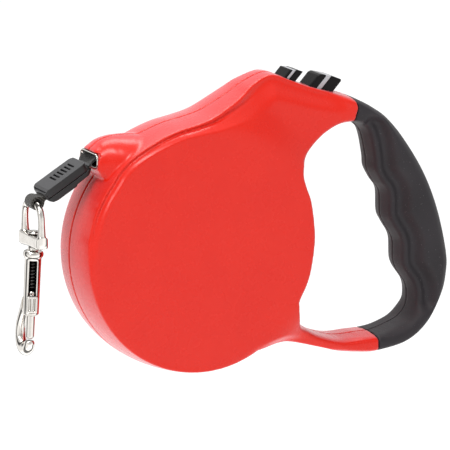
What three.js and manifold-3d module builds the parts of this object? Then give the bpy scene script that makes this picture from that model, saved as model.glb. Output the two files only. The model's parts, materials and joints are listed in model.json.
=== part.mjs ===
// Retractable dog leash: a hollow two-half casing with a rubber grip, a sprung tape reel inside,
// a brake button with its lock, and a tape end with a clamp, a swivel eye and a bolt snap.
//
// Drawing frame of the sub-parts, in millimetres: the reel axis is parallel to Y at X = REEL_X, +X runs
// from the reel to the hand grip, +Z is up and the casing parts at Y = 0. The whole leash is then moved
// so that its origin is the middle of the hand grip.

import * as THREE from 'three';
import { mergeVertices } from 'three/addons/utils/BufferGeometryUtils.js';
import Module from 'manifold-3d';

const wasm = await Module();
wasm.setup();

// ---- driving dimensions (mm) ----

const GRIP_CENTRE = [122, 0, -8];
const GAP = 0.3; // clearance between neighbouring pieces
const CURVE_STEPS = 44; // points along each closed outline

// casing
const REEL_X = 2;
const DISC_RADIUS = 59.9;
const RIM_RADIUS = 57; // of the crease round each side face
const RIM_HALF = 20.5; // from the parting plane to that crease
const FACE_RADIUS = 54; // of the flat part of each side face
const DISC_HALF = 22;
const TOP_HALF = 18.8; // half thickness of the casing above the reel
const HANDLE_HALF = 14; // half thickness of the bridge and the handle
const HUMP_HALF = 13.5; // half thickness of the hump over the nozzle
const WALL = 2.5;
const CAVITY_RADIUS = 53;
const CAVITY_HALF = DISC_HALF - WALL;
const CORE_HALF = 9; // half thickness of the casing inside the grip

// nozzle, and the line on which the tape leaves it
const MOUTH = [-47.7, 43.3]; // middle of the nozzle's open end, which faces -X
const TAPE_START = [-48.5, 43]; // where the clamp meets the nozzle
const PULL_SLOPE = THREE.MathUtils.degToRad(31); // below the horizontal
const MOUTH_HALF_WIDTH = 10.5;
const MOUTH_HALF_HEIGHT = 5.4;
const BEZEL_LENGTH = 9;

// reel
const TAPE_WIDTH = 15;
const TAPE_THICK = 1;
const ROLL_INNER = 24.6;
const ROLL_OUTER = 46;
const FLANGE_RADIUS = 50;
const FLANGE_THICK = 1.7;
const TOOTH_COUNT = 24;
const TOOTH_DEPTH = 2.6;
const HUB_RADIUS = 24.2;
const HUB_BORE = 22;
const SPINDLE_RADIUS = 3;
const POST_RADIUS = 7;
const SPRING_TURNS = 6;
const SPRING_STRIP = 0.5;

// buttons, pressed along the line towards the reel axis
const PRESS_SLOPE = THREE.MathUtils.degToRad(47.5);
const BUTTON_HALF = 6;
const CHAMBER_HALF = 11;
const WELL_GAP = 0.35;
const PAWL_TIP_RADIUS = 51.2;
const BRAKE_TRAVEL = 3.6;
const LOCK_TRAVEL = 3;

// case screws: place in the X-Z plane of each screw and its boss
const SCREW_PLACES = [[-36, -38.2], [40, -38.2], [-41.3, 32], [20, 57.5], [124.2, -24]];
const HANDLE_SCREW = 4; // the index of the one in the handle
const BOSS_RADIUS = 3.2;
const SCREW_RADIUS = 1.5;
const SCREW_HEAD_RADIUS = 2.8;

// tape end
const CLAMP_LENGTH = 26.6;
const CLAMP_HALF_WIDTH = 8.2;
const CLAMP_START = 0.3; // from the start of the tape, outwards
const PIN_SIDES = [-4, 4]; // Y of the two screws through the clamp
const PIN_RADIUS = 1.1;
const PIN_HEAD_RADIUS = 1.9;
const RIB_PITCH = 2.1;
const LOOP_REACH = 31.9; // from the start of the tape to the middle of the strap loop
const LOOP_RADIUS = 3.4;
const LOOP_THICK = 1.2;
const LOOP_HALF_WIDTH = 4.8;

// swivel eye and snap
const EYE_X = -75.9;
const EYE_TOP = 26.6; // middle of the wire at the top of its arch
const EYE_HALF_WIDTH = 8.8; // to the middle of its wire
const EYE_WIRE = 1.8; // radius
const EYE_BASE = [6.5, 11.3]; // bottom and top of its cross base
const COLLAR_TOP = 4.4;
const SNAP_LEAN = THREE.MathUtils.degToRad(3);
const BARREL_RADIUS = 4;
const BARREL_BORE = 2.5;
const BARREL_LENGTH = 31.3;
const BOLT_RADIUS = 2.1;
const KNOB_YAW = THREE.MathUtils.degToRad(-20);
const HOOK_OFFSET = 12; // from the bolt axis to the hook's arm
const HOOK_WIRE = 2.3; // radius

// ---- colours ----

const material = (color, roughness, metalness) =>
  new THREE.MeshStandardMaterial({ color, roughness, metalness });
const RED = material(0xe3362c, 0.32, 0);
const RUBBER = material(0x2b292b, 0.7, 0);
const BLACK = material(0x1a191b, 0.35, 0);
const GREY = material(0xafafb4, 0.45, 0);
const CHROME = material(0xdcdcde, 0.12, 1);
const STEEL = material(0x8f9196, 0.35, 1);
const WEB = material(0x1c1b1b, 0.9, 0);
const NYLON = material(0xd8d4c8, 0.5, 0);

// ---- solids: three.js shapes, cut and joined by manifold-3d ----

/** A closed three.js geometry as a manifold solid. */
function solid(geometry) {
  const bare = geometry.index ? geometry.clone() : geometry;
  bare.deleteAttribute('normal');
  bare.deleteAttribute('uv');
  const merged = mergeVertices(bare, 1e-4);
  return new wasm.Manifold(new wasm.Mesh({
    numProp: 3,
    vertProperties: new Float32Array(merged.attributes.position.array),
    triVerts: new Uint32Array(merged.index.array),
  }));
}

/** A manifold solid as a three.js geometry. */
function geometryOf(body) {
  const mesh = body.getMesh();
  const geometry = new THREE.BufferGeometry();
  geometry.setAttribute('position', new THREE.BufferAttribute(mesh.vertProperties, 3));
  geometry.setIndex(new THREE.BufferAttribute(mesh.triVerts, 1));
  geometry.computeVertexNormals();
  return geometry;
}

const unite = (bodies) => bodies.reduce((sum, body) => sum.add(body));

/** A shape drawn in the X-Z plane, made solid from y0 to y1, with its edges rounded as asked. */
function prism(shape, y0, y1, curveSegments = 12, [edgeDepth, edgeInset, edgeSteps] = [0, 0, 0]) {
  const geometry = new THREE.ExtrudeGeometry(shape, {
    depth: y1 - y0 - 2 * edgeDepth,
    bevelEnabled: edgeDepth > 0,
    bevelThickness: edgeDepth,
    bevelSize: edgeInset,
    bevelOffset: -edgeInset,
    bevelSegments: edgeSteps,
    curveSegments,
  });
  geometry.rotateX(Math.PI / 2);
  geometry.translate(0, y1 - edgeDepth, 0);
  return solid(geometry);
}

/** A straight-sided outline in the X-Z plane. */
const polygon = (points) => new THREE.Shape(points.map(([x, z]) => new THREE.Vector2(x, z)));

/** A smooth closed outline through the points, in the X-Z plane. */
function smooth(points, steps = CURVE_STEPS) {
  const curve = new THREE.CatmullRomCurve3(
    points.map(([x, z]) => new THREE.Vector3(x, 0, z)), true, 'centripetal');
  return polygon(curve.getSpacedPoints(steps).slice(0, -1).map((p) => [p.x, p.z]));
}

/** A turned solid about a line along Y; its profile is a list of [radius, y]. */
function turnedY(profile, segments, x = 0, z = 0) {
  const geometry = new THREE.LatheGeometry(profile.map(([r, y]) => new THREE.Vector2(r, y)), segments);
  geometry.translate(x, 0, z);
  return solid(geometry);
}

/** A turned solid about the Z axis; its profile is a list of [radius, z]. */
function turnedZ(profile, segments) {
  const geometry = new THREE.LatheGeometry(profile.map(([r, z]) => new THREE.Vector2(r, z)), segments);
  geometry.rotateX(Math.PI / 2);
  return solid(geometry);
}

const diskY = (radius, y0, y1, x = 0, z = 0, segments = 24) =>
  turnedY([[0, y0], [radius, y0], [radius, y1], [0, y1]], segments, x, z);

const ringY = (inner, outer, y0, y1, segments = 36) =>
  turnedY([[inner, y0], [outer, y0], [outer, y1], [inner, y1], [inner, y0]], segments);

/** A box from its lowest to its highest corner. */
function block([x0, y0, z0], [x1, y1, z1]) {
  const geometry = new THREE.BoxGeometry(x1 - x0, y1 - y0, z1 - z0);
  geometry.translate((x0 + x1) / 2, (y0 + y1) / 2, (z0 + z1) / 2);
  return solid(geometry);
}

/** A round wire along a curve. */
function wire(curve, radius, steps, sides = 10) {
  const section = new THREE.Shape();
  section.absarc(0, 0, radius, 0, 2 * Math.PI, false);
  return new THREE.ExtrudeGeometry(section, { steps, extrudePath: curve, curveSegments: sides });
}

const cutAway = (body, cutters) => cutters.reduce((rest, cutter) => rest.subtract(cutter), body);

const mesh = (name, geometry, look) => {
  const node = new THREE.Mesh(geometry, look);
  node.name = name;
  return node;
};
const piece = (name, body, look) => mesh(name, geometryOf(body), look);

// ---- casing outlines ----

/** The whole side outline: reel, nozzle hump, button bump, handle and bridge. */
function casingOutline() {
  const shape = new THREE.Shape();
  const start = THREE.MathUtils.degToRad(-62);
  const end = THREE.MathUtils.degToRad(145.5);
  const radius = DISC_RADIUS - 0.4;
  shape.moveTo(REEL_X + radius * Math.cos(end), radius * Math.sin(end));
  shape.absarc(REEL_X, 0, radius, end, start + 2 * Math.PI, false);
  const rest = [[32, -49.6], [50, -48.8], [65.5, -52.6], [89.5, -57.5], [113.5, -54.3], [125.1, -47.4],
    [131.8, -35.4], [134.1, -20], [129.2, 6.7], [121.9, 25.2], [111.1, 42.7], [100, 56], [84, 64.2],
    [71.5, 68.5], [52.6, 75.5], [42.5, 79.1], [32, 75.1], [18.7, 67.7], [-1.2, 61], [-22.2, 56.6],
    [-33, 55.4], [-42.2, 54.2], [-46.1, 52], [-47.7, 48.8]];
  shape.splineThru(rest.map(([x, z]) => new THREE.Vector2(x, z)));
  shape.closePath();
  return shape;
}

/** The opening for the fingers, with four finger grooves on the handle side. */
const fingerOpening = () => smooth([[80, 54.5], [67.8, 50.4], [56.5, 40.5], [53, 32], [57, 17.5],
  [58.5, 2], [56.1, -12.9], [51, -29.5], [54, -40.4], [67.7, -48.6], [89.5, -52.4], [108.6, -48.2],
  [114, -45], [118, -36.8], [112.3, -20.2], [111, -7.9], [105.4, 2.5], [103.8, 16.1], [97.6, 28],
  [97.1, 34], [95, 44], [90, 52.5]], 56);

/** The part of the plane on the handle side of the two grip seams, set back by a clearance. */
const gripRegion = (clearance) => polygon([[97 + clearance, -70], [150, -70], [150, 80],
  [80 + clearance, 80], [83.5 + clearance, 60], [80 + clearance, 50], [90, 30], [97 + clearance, -46]]);

/** The casing's core inside the grip, made wider by a margin. */
const coreOutline = (margin) => polygon([[78, 63 + margin], [90, 59.5 + margin],
  [101 + margin, 49 + margin], [113 + margin, 30], [124 + margin, 5], [129 + margin, -18],
  [127.5 + margin, -34], [119 + margin, -45 - margin], [108, -51.6 - margin], [90, -55.6 - margin],
  [90, -53.9 + margin], [108, -49.9 + margin], [115.5 - margin, -44.4],
  [120.4 - margin, -34], [118.6 - margin, -18], [114 - margin, 0], [106.5 - margin, 16],
  [101.5 - margin, 34], [99 - margin, 46.5], [89.5, 56.3 - margin], [78, 57.8 - margin]]);

/** Plan of the casing: thick over the reel, thinner at the nozzle hump and towards the handle. */
function thicknessPlan() {
  const side = [[-70, HUMP_HALF], [-44, HUMP_HALF], [-26, TOP_HALF], [24, TOP_HALF],
    [42, HANDLE_HALF + 1.5], [62, HANDLE_HALF], [140, HANDLE_HALF]];
  const outline = [...side, ...side.map(([x, y]) => [x, -y]).reverse()];
  const geometry = new THREE.ExtrudeGeometry(polygon(outline), { depth: 180, bevelEnabled: false });
  geometry.translate(0, 0, -80);
  return solid(geometry);
}

/** The reel housing as a turned disc with a crowned rim. */
function reelDisc(segments) {
  const side = [[0, DISC_HALF], [FACE_RADIUS, DISC_HALF], [RIM_RADIUS, RIM_HALF],
    [RIM_RADIUS + 1.4, 15], [DISC_RADIUS - 0.7, 10], [DISC_RADIUS, 0]];
  const mirrored = side.slice(0, -1).map(([r, y]) => [r, -y]).reverse();
  return turnedY([...side, ...mirrored].reverse(), segments, REEL_X);
}

/** Rounds the edges of everything on the handle side, more than the rest of the casing. */
function handleEnvelope() {
  const body = prism(casingOutline(), -HANDLE_HALF, HANDLE_HALF, 3, [9, 4, 2]);
  return body.add(block([-80, -30, -70], [70, 30, 90]));
}

/** The finger opening through the casing, wider at both faces. */
function openingCutter() {
  const flares = [-HANDLE_HALF, HANDLE_HALF]
    .map((y) => prism(fingerOpening(), y - 5, y + 5, 12, [4.9, -2, 1]));
  return unite([prism(fingerOpening(), -DISC_HALF - 1, DISC_HALF + 1), ...flares]);
}

/** Casing and grip as one solid block, before they are parted. */
function wholeCasing() {
  const upper = prism(casingOutline(), -TOP_HALF, TOP_HALF, 3, [6, 2, 2]);
  return upper.intersect(thicknessPlan()).intersect(handleEnvelope()).subtract(openingCutter())
    .add(reelDisc(60));
}

// ---- moving directions ----

const pressX = Math.cos(PRESS_SLOPE);
const pressZ = Math.sin(PRESS_SLOPE);

/** A place measured along the press line from the reel axis, and across it (+ towards the grip). */
const alongPress = (out, across) => [REEL_X + out * pressX + across * pressZ,
  out * pressZ - across * pressX];

// ---- casing interior ----

/** The room in the neck for the buttons' stems and springs. */
const chamber = () => prism(polygon([[10, 46], [38, 30], [49, 36.5], [56.5, 45.5], [66, 53], [75, 57.4],
  [77, 60.5], [70.5, 64.8], [52, 71.8], [43, 75.2], [33.5, 72.2], [23, 66.6], [12, 60.8]]),
-CHAMBER_HALF, CHAMBER_HALF);

/** An outline given as [out, across] along the press line. */
const pressPolygon = (points) => polygon(points.map(([out, across]) => alongPress(out, across)));

const LOCK_LOW = 85;
const LOCK_SIDES = [-15.7, -10.1];
const BRAKE_LOW = 88;
const BRAKE_SIDES = [-2.4, 8.7];

const lockHead = () => pressPolygon([[LOCK_LOW, LOCK_SIDES[0]], [93.6, LOCK_SIDES[0]], [96.6, LOCK_SIDES[1]],
  [LOCK_LOW, LOCK_SIDES[1]]]);
const brakeHead = () => pressPolygon([[BRAKE_LOW, BRAKE_SIDES[0]], [100.2, BRAKE_SIDES[0]], [102.1, -0.9],
  [106.2, 8.3], [105.4, BRAKE_SIDES[1]], [BRAKE_LOW, BRAKE_SIDES[1]]]);

/** The room a button slides in, open at the top. */
const well = (low, [left, right]) => pressPolygon([[low, left - WELL_GAP], [120, left - WELL_GAP],
  [120, right + WELL_GAP], [low, right + WELL_GAP]]);
const lockWell = () => well(LOCK_LOW - LOCK_TRAVEL - 0.6, LOCK_SIDES);
const brakeWell = () => well(BRAKE_LOW - BRAKE_TRAVEL - 0.6, BRAKE_SIDES);

/** Ledges across the neck that the two button springs stand on. */
const springSeats = () => [[68, 78.2, 3.4, 8.6], [72.5, 76.2, -16.5, -12.4]]
  .map(([low, high, left, right]) => prism(
    pressPolygon([[low, left], [high, left], [high, right], [low, right]]),
    -CHAMBER_HALF - 1, CHAMBER_HALF + 1));

/** A stripe down through a button, between two places across the press line. */
const stripeOutline = (low, [left, right], [leftTop, rightTop], margin) => pressPolygon([
  [low - margin, left - margin], [leftTop + 4 * margin, left - margin],
  [rightTop + 4 * margin, right + margin], [low - margin, right + margin]]);
const lockStripe = (margin) => stripeOutline(90, [-14.9, -13.7], [94.2, 94.9], margin);
const brakeStripe = (margin) => stripeOutline(93, [0.8, 3.1], [103, 104], margin);

/** The round nozzle passage into the casing, of a given half width and half height. */
function nozzlePassage(halfWidth, halfHeight, from, to) {
  const section = new THREE.Shape();
  const round = Math.min(halfHeight, halfWidth) * 0.7;
  const [w, h] = [halfWidth - round, halfHeight - round];
  section.absarc(w, h, round, 0, Math.PI / 2, false);
  section.absarc(-w, h, round, Math.PI / 2, Math.PI, false);
  section.absarc(-w, -h, round, Math.PI, 1.5 * Math.PI, false);
  section.absarc(w, -h, round, 1.5 * Math.PI, 2 * Math.PI, false);
  const geometry = new THREE.ExtrudeGeometry(section, {
    depth: to - from, bevelEnabled: false, curveSegments: 4,
  });
  // the section's own X runs along Y, its Y up, and its depth along the local +X axis
  geometry.rotateX(Math.PI / 2);
  geometry.rotateZ(Math.PI / 2);
  geometry.translate(from, 0, 0);
  geometry.translate(MOUTH[0], 0, MOUTH[1]);
  return solid(geometry);
}

/** The path of the tape between reel and nozzle, cut free inside the casing. */
const tapeChannel = () => prism(polygon([[-42, 39.4], [-39, 35], [-20, 40], [0, 44], [0, 50.5],
  [-30, 51.3], [-38, 50.2], [-42, 49]]), -MOUTH_HALF_WIDTH, MOUTH_HALF_WIDTH);

/** Everything cut out of the casing: reel room, neck room, wells, nozzle and screw holes. */
function casingVoid() {
  const reelRoom = diskY(CAVITY_RADIUS, -CAVITY_HALF, CAVITY_HALF, REEL_X, 0, 48);
  const wells = [lockWell(), brakeWell()]
    .map((shape) => prism(shape, -BUTTON_HALF - WELL_GAP, BUTTON_HALF + WELL_GAP));
  const nozzle = nozzlePassage(MOUTH_HALF_WIDTH + 1.6, MOUTH_HALF_HEIGHT + 1.2, -20, BEZEL_LENGTH + GAP);
  return unite([reelRoom, chamber(), tapeChannel(), ...wells, nozzle]);
}

/** Bosses for the screws, posts for the spindle and seats for the springs, in both halves. */
function casingPosts() {
  const bosses = SCREW_PLACES.slice(0, HANDLE_SCREW)
    .map(([x, z]) => diskY(BOSS_RADIUS, -CAVITY_HALF - 1, CAVITY_HALF + 1, x, z, 16));
  const posts = [[-CAVITY_HALF - 1, -TAPE_WIDTH / 2 - 3.6], [TAPE_WIDTH / 2 + 3.6, CAVITY_HALF + 1]]
    .map(([y0, y1]) => diskY(POST_RADIUS, y0, y1, REEL_X));
  return unite([...bosses, ...posts, ...springSeats()]);
}

/** Screw holes from the rear, and the blind hole for the spindle. */
function fastenerHoles() {
  const holes = SCREW_PLACES.map(([x, z], i) => {
    const rear = i === HANDLE_SCREW ? HANDLE_HALF + 1 : TOP_HALF - 3;
    const depth = screwDepth(i);
    const shank = diskY(SCREW_RADIUS + GAP, -depth - GAP, rear, x, z, 12);
    return shank.add(diskY(SCREW_HEAD_RADIUS + GAP, screwSeat(i) - GAP, DISC_HALF + 3, x, z, 16));
  });
  return unite([...holes, diskY(SPINDLE_RADIUS + GAP, -DISC_HALF + 2, DISC_HALF - 2, REEL_X)]);
}

/** The Y of the face under a screw's head, and how far its tip lies in the front half. */
const screwSeat = (i) => (i === HANDLE_SCREW ? 5.5 : 12.5);
const screwDepth = (i) => (i === HANDLE_SCREW ? 6 : 10);

// ---- casing pieces ----

function casingHalves() {
  const whole = wholeCasing();
  const outerGrip = prism(gripRegion(0), -30, 30);
  const core = prism(coreOutline(0), -CORE_HALF, CORE_HALF);
  const shell = whole.subtract(outerGrip).add(core).subtract(casingVoid());
  const body = shell.add(casingPosts().intersect(whole)).subtract(fastenerHoles());
  const grip = cutAway(whole.intersect(prism(gripRegion(GAP), -30, 30)),
    [prism(coreOutline(GAP), -CORE_HALF - GAP, CORE_HALF + GAP), fastenerHoles()]);
  const front = block([-200, -60, -200], [200, -GAP / 2, 200]);
  const rear = block([-200, GAP / 2, -200], [200, 60, 200]);
  return [
    piece('front_shell', body.intersect(front), RED),
    piece('rear_shell', body.intersect(rear), RED),
    piece('front_grip', grip.intersect(front), RUBBER),
    piece('rear_grip', grip.intersect(rear), RUBBER),
  ];
}

function nozzleBezel() {
  const outer = nozzlePassage(MOUTH_HALF_WIDTH + 1.3, MOUTH_HALF_HEIGHT + 0.9, -0.6, BEZEL_LENGTH);
  const bore = nozzlePassage(MOUTH_HALF_WIDTH - 0.4, MOUTH_HALF_HEIGHT - 0.8, -2, BEZEL_LENGTH + 2);
  return piece('nozzle_bezel', outer.subtract(bore), CHROME);
}

function caseScrews() {
  return SCREW_PLACES.map(([x, z], i) => {
    const seat = screwSeat(i);
    const tip = -screwDepth(i);
    const profile = [[0, tip], [SCREW_RADIUS, tip], [SCREW_RADIUS, seat], [SCREW_HEAD_RADIUS, seat],
      [SCREW_HEAD_RADIUS, seat + 1.6], [SCREW_HEAD_RADIUS - 0.8, seat + 2.2], [0, seat + 2.2]];
    const slot = block([x - 2, seat + 1.4, z - 0.4], [x + 2, seat + 4, z + 0.4]);
    const cross = block([x - 0.4, seat + 1.4, z - 2], [x + 0.4, seat + 4, z + 2]);
    return piece(`case_screw_${i + 1}`, cutAway(turnedY(profile, 16, x, z), [slot, cross]), STEEL);
  });
}

function spindle() {
  const axle = diskY(SPINDLE_RADIUS, -DISC_HALF + 2.5, DISC_HALF - 2.5, 0, 0, 20);
  const arbor = diskY(5, -TAPE_WIDTH / 2 + 1, TAPE_WIDTH / 2 - 1, 0, 0, 20);
  const slot = block([-8, -TAPE_WIDTH / 2, -0.4], [0, TAPE_WIDTH / 2, 0.4]);
  return piece('spindle', axle.add(arbor).subtract(slot), STEEL);
}

// ---- reel ----

/** The ratchet rim: a notch between teeth every 15 degrees. */
function ratchetFlange(y0, y1) {
  const points = [];
  for (let i = 0; i < TOOTH_COUNT; i += 1) {
    const start = (i - 0.5) * (2 * Math.PI / TOOTH_COUNT) + PRESS_SLOPE;
    const at = (share, r) => {
      const angle = start + share * (2 * Math.PI / TOOTH_COUNT);
      return [r * Math.cos(angle), r * Math.sin(angle)];
    };
    points.push(at(0, FLANGE_RADIUS), at(0.13, FLANGE_RADIUS));
    points.push(at(0.2, FLANGE_RADIUS - TOOTH_DEPTH), at(0.8, FLANGE_RADIUS - TOOTH_DEPTH));
    points.push(at(0.87, FLANGE_RADIUS));
  }
  return prism(polygon(points), y0, y1);
}

const FLANGE_INSIDE = TAPE_WIDTH / 2 + 0.8;
const FLANGE_OUTSIDE = FLANGE_INSIDE + FLANGE_THICK;

function reel() {
  const hub = ringY(HUB_BORE, HUB_RADIUS, -FLANGE_INSIDE - 0.5, FLANGE_INSIDE - GAP);
  const flange = ratchetFlange(-FLANGE_OUTSIDE, -FLANGE_INSIDE)
    .subtract(diskY(SPINDLE_RADIUS + 0.4, -20, 20));
  const drum = flange.add(hub);
  const plate = ringY(SPINDLE_RADIUS + 0.4, FLANGE_RADIUS - TOOTH_DEPTH, FLANGE_INSIDE, FLANGE_OUTSIDE, 48);
  const roll = ringY(ROLL_INNER, ROLL_OUTER, -TAPE_WIDTH / 2, TAPE_WIDTH / 2, 36);
  return [piece('reel_drum', drum, NYLON), piece('reel_side_plate', plate, NYLON),
    piece('tape_roll', roll, WEB)];
}

/** A flat spiral of thin strip from the arbor out to the drum wall. */
function powerSpring() {
  const steps = SPRING_TURNS * 16;
  const side = (offset) => Array.from({ length: steps + 1 }, (_, i) => {
    const share = i / steps;
    const radius = 6.2 + share * (HUB_BORE - 8) + offset;
    const angle = share * SPRING_TURNS * 2 * Math.PI;
    return [radius * Math.cos(angle), radius * Math.sin(angle)];
  });
  const outline = polygon([...side(SPRING_STRIP), ...side(0).reverse()]);
  return piece('power_spring', prism(outline, -TAPE_WIDTH / 2 + 0.5, TAPE_WIDTH / 2 - 0.5), STEEL);
}

/** The reel, its spring and the spindle it turns on, about their own axis. */
function reelGroup() {
  const group = new THREE.Group();
  group.position.set(REEL_X, 0, 0);
  group.add(spindle(), ...reel(), powerSpring());
  return group;
}

// ---- buttons ----

const PAWL_NEAR = -FLANGE_OUTSIDE - 0.3;
const PAWL_FAR = -FLANGE_INSIDE + 0.2;

function brakeButton() {
  const head = cutAway(prism(brakeHead(), -BUTTON_HALF, BUTTON_HALF),
    [prism(brakeStripe(GAP), -BUTTON_HALF - 1, BUTTON_HALF + 1)]);
  const stem = prism(pressPolygon([[78, -2.3], [89, -2.3], [89, 3], [78, 3]]), -5, 4);
  const leg = prism(pressPolygon([[PAWL_TIP_RADIUS + 6, -3], [79, -3], [79, 3], [PAWL_TIP_RADIUS + 6, 3]]),
    PAWL_NEAR, 4);
  const pawl = prism(pressPolygon([[PAWL_TIP_RADIUS, -1.2], [PAWL_TIP_RADIUS + 7, -3],
    [PAWL_TIP_RADIUS + 7, 3], [PAWL_TIP_RADIUS, 1.2]]), PAWL_NEAR, PAWL_FAR);
  return [
    piece('brake_button', unite([head, stem, leg, pawl]), BLACK),
    piece('brake_button_stripe', prism(brakeStripe(0), -BUTTON_HALF, BUTTON_HALF), GREY),
  ];
}

function lockButton() {
  const head = cutAway(prism(lockHead(), -BUTTON_HALF, BUTTON_HALF),
    [prism(lockStripe(GAP), -BUTTON_HALF - 1, BUTTON_HALF + 1)]);
  const stem = prism(pressPolygon([[77, -12.3], [86, -12.3], [86, -10.4], [77, -10.4]]), -4, 4);
  return [
    piece('lock_button', head.add(stem), BLACK),
    piece('lock_button_stripe', prism(lockStripe(0), -BUTTON_HALF, BUTTON_HALF), GREY),
  ];
}

/** A coil spring standing along the press line. */
function coilSpring(name, across, from, to, radius, turns) {
  class Coil extends THREE.Curve {
    getPoint(t, target = new THREE.Vector3()) {
      const angle = t * turns * 2 * Math.PI;
      const [x, z] = alongPress(from + t * (to - from), across + radius * Math.cos(angle));
      return target.set(x, radius * Math.sin(angle), z);
    }
  }
  return mesh(name, solidCheck(wire(new Coil(), 0.4, turns * 8, 2)), STEEL);
}

/** A geometry that has been proved closed. */
const solidCheck = (geometry) => geometryOf(solid(geometry));

// ---- tape end, in its own frame: X back into the nozzle along the pull line, Z up off the tape ----

function clampHalves() {
  const tail = -CLAMP_START - CLAMP_LENGTH;
  const upperSide = polygon([[-CLAMP_START, 0.15], [-CLAMP_START, 2.2], [-CLAMP_START - 1.5, 3.6],
    [tail + 1.5, 3.8], [tail, 2.6], [tail, 0.15]]);
  const lowerSide = polygon([[-CLAMP_START, -0.15], [-CLAMP_START, -1.2], [-CLAMP_START - 3, -2.4],
    [tail + 16, -2.4], [tail + 15.2, -3.4], [tail + 3, -3.4], [tail, -2.2], [tail, -0.15]]);
  const plan = new THREE.ExtrudeGeometry(polygon([[-CLAMP_START + 0.1, -5.6], [-CLAMP_START - 3.5, -7.8],
    [-CLAMP_START - 8, -CLAMP_HALF_WIDTH], [tail + 2, -CLAMP_HALF_WIDTH], [tail - 0.1, -6.6],
    [tail - 0.1, 6.6], [tail + 2, CLAMP_HALF_WIDTH], [-CLAMP_START - 8, CLAMP_HALF_WIDTH],
    [-CLAMP_START - 3.5, 7.8], [-CLAMP_START + 0.1, 5.6]]), { depth: 12, bevelEnabled: false });
  plan.translate(0, 0, -6);
  const planSolid = solid(plan);
  const tapeRoom = block([tail + 7, -TAPE_WIDTH / 2 + 0.6, -0.8], [0, TAPE_WIDTH / 2 - 0.6, 0.8]);
  const strapRoom = block([tail - 1, -LOOP_HALF_WIDTH - GAP, -LOOP_THICK - GAP],
    [tail + 4, LOOP_HALF_WIDTH + GAP, LOOP_THICK + GAP]);
  const slots = Array.from({ length: 5 }, (_, i) => {
    const x = -CLAMP_START - 9 - i * RIB_PITCH;
    return block([x - 0.45, -4.5, 3.1], [x + 0.45, 4.5, 6]);
  });
  const screwHoles = PIN_SIDES.map((y) => pin(y, PIN_RADIUS + GAP, -8, 1.8)
    .add(pin(y, PIN_HEAD_RADIUS + GAP, -8, -1.9)));
  const cuts = [tapeRoom, strapRoom, ...screwHoles];
  const screws = PIN_SIDES.map((y, i) => piece(`clamp_screw_${i + 1}`,
    pin(y, PIN_RADIUS, -2.5, 1.5).add(pin(y, PIN_HEAD_RADIUS, -3.4, -2.3)), STEEL));
  return [
    piece('clamp_upper', cutAway(prism(upperSide, -9, 9).intersect(planSolid), [...cuts, ...slots]), BLACK),
    piece('clamp_lower', cutAway(prism(lowerSide, -9, 9).intersect(planSolid), cuts), BLACK),
    ...screws,
  ];
}

/** An upright pin through the clamp near its front end. */
function pin(y, radius, z0, z1) {
  const geometry = new THREE.CylinderGeometry(radius, radius, z1 - z0, 14);
  geometry.rotateX(Math.PI / 2);
  geometry.translate(-CLAMP_START - CLAMP_LENGTH + 10, y, (z0 + z1) / 2);
  return solid(geometry);
}

/** The short end of tape between the nozzle and the clamp. */
function tapeTail() {
  const from = -CLAMP_START - CLAMP_LENGTH + 7.3;
  const body = block([from, -TAPE_WIDTH / 2 + 1, -TAPE_THICK / 2], [7, TAPE_WIDTH / 2 - 1, TAPE_THICK / 2]);
  const pinHoles = PIN_SIDES.map((y) => pin(y, PIN_RADIUS + GAP, -5, 5));
  return piece('tape_tail', cutAway(body, pinHoles), WEB);
}

/** The tape inside the casing, from the top of the reel to the nozzle. */
const tapeRun = () => piece('tape_run', prism(polygon([[0, 46.6], [0, 47.6], [-38.9, 47.6],
  [-40.6, 47.3], [-42.7, 46.95], [-42.2, 46.1], [-40.2, 46.3], [-38.9, 46.6]]), -TAPE_WIDTH / 2 + 0.5,
TAPE_WIDTH / 2 - 0.5), WEB);

/** The strap sewn round the swivel eye, with both ends held in the clamp. */
function strapLoop() {
  const outer = new THREE.Shape();
  const reach = 8; // from the loop's middle into the clamp
  outer.absarc(0, 0, LOOP_RADIUS, Math.PI / 3, (5 / 3) * Math.PI, false);
  outer.lineTo(LOOP_RADIUS + 1, -LOOP_THICK);
  outer.lineTo(reach, -LOOP_THICK);
  outer.lineTo(reach, LOOP_THICK);
  outer.lineTo(LOOP_RADIUS + 1, LOOP_THICK);
  outer.closePath();
  const hole = new THREE.Path();
  hole.absarc(0, 0, LOOP_RADIUS - LOOP_THICK, 0, 2 * Math.PI, true);
  outer.holes.push(hole);
  return prism(outer, -LOOP_HALF_WIDTH, LOOP_HALF_WIDTH);
}

/** Turns and places a group so that its X axis points back up the pull line. */
function tapeFrame(children) {
  const group = new THREE.Group();
  group.position.set(TAPE_START[0], 0, TAPE_START[1]);
  group.rotation.y = -PULL_SLOPE;
  group.add(...children);
  return group;
}

function strapPiece() {
  const strap = piece('strap_loop', strapLoop(), WEB);
  strap.position.set(-LOOP_REACH, 0, 0);
  return strap;
}

// ---- swivel eye ----

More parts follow.
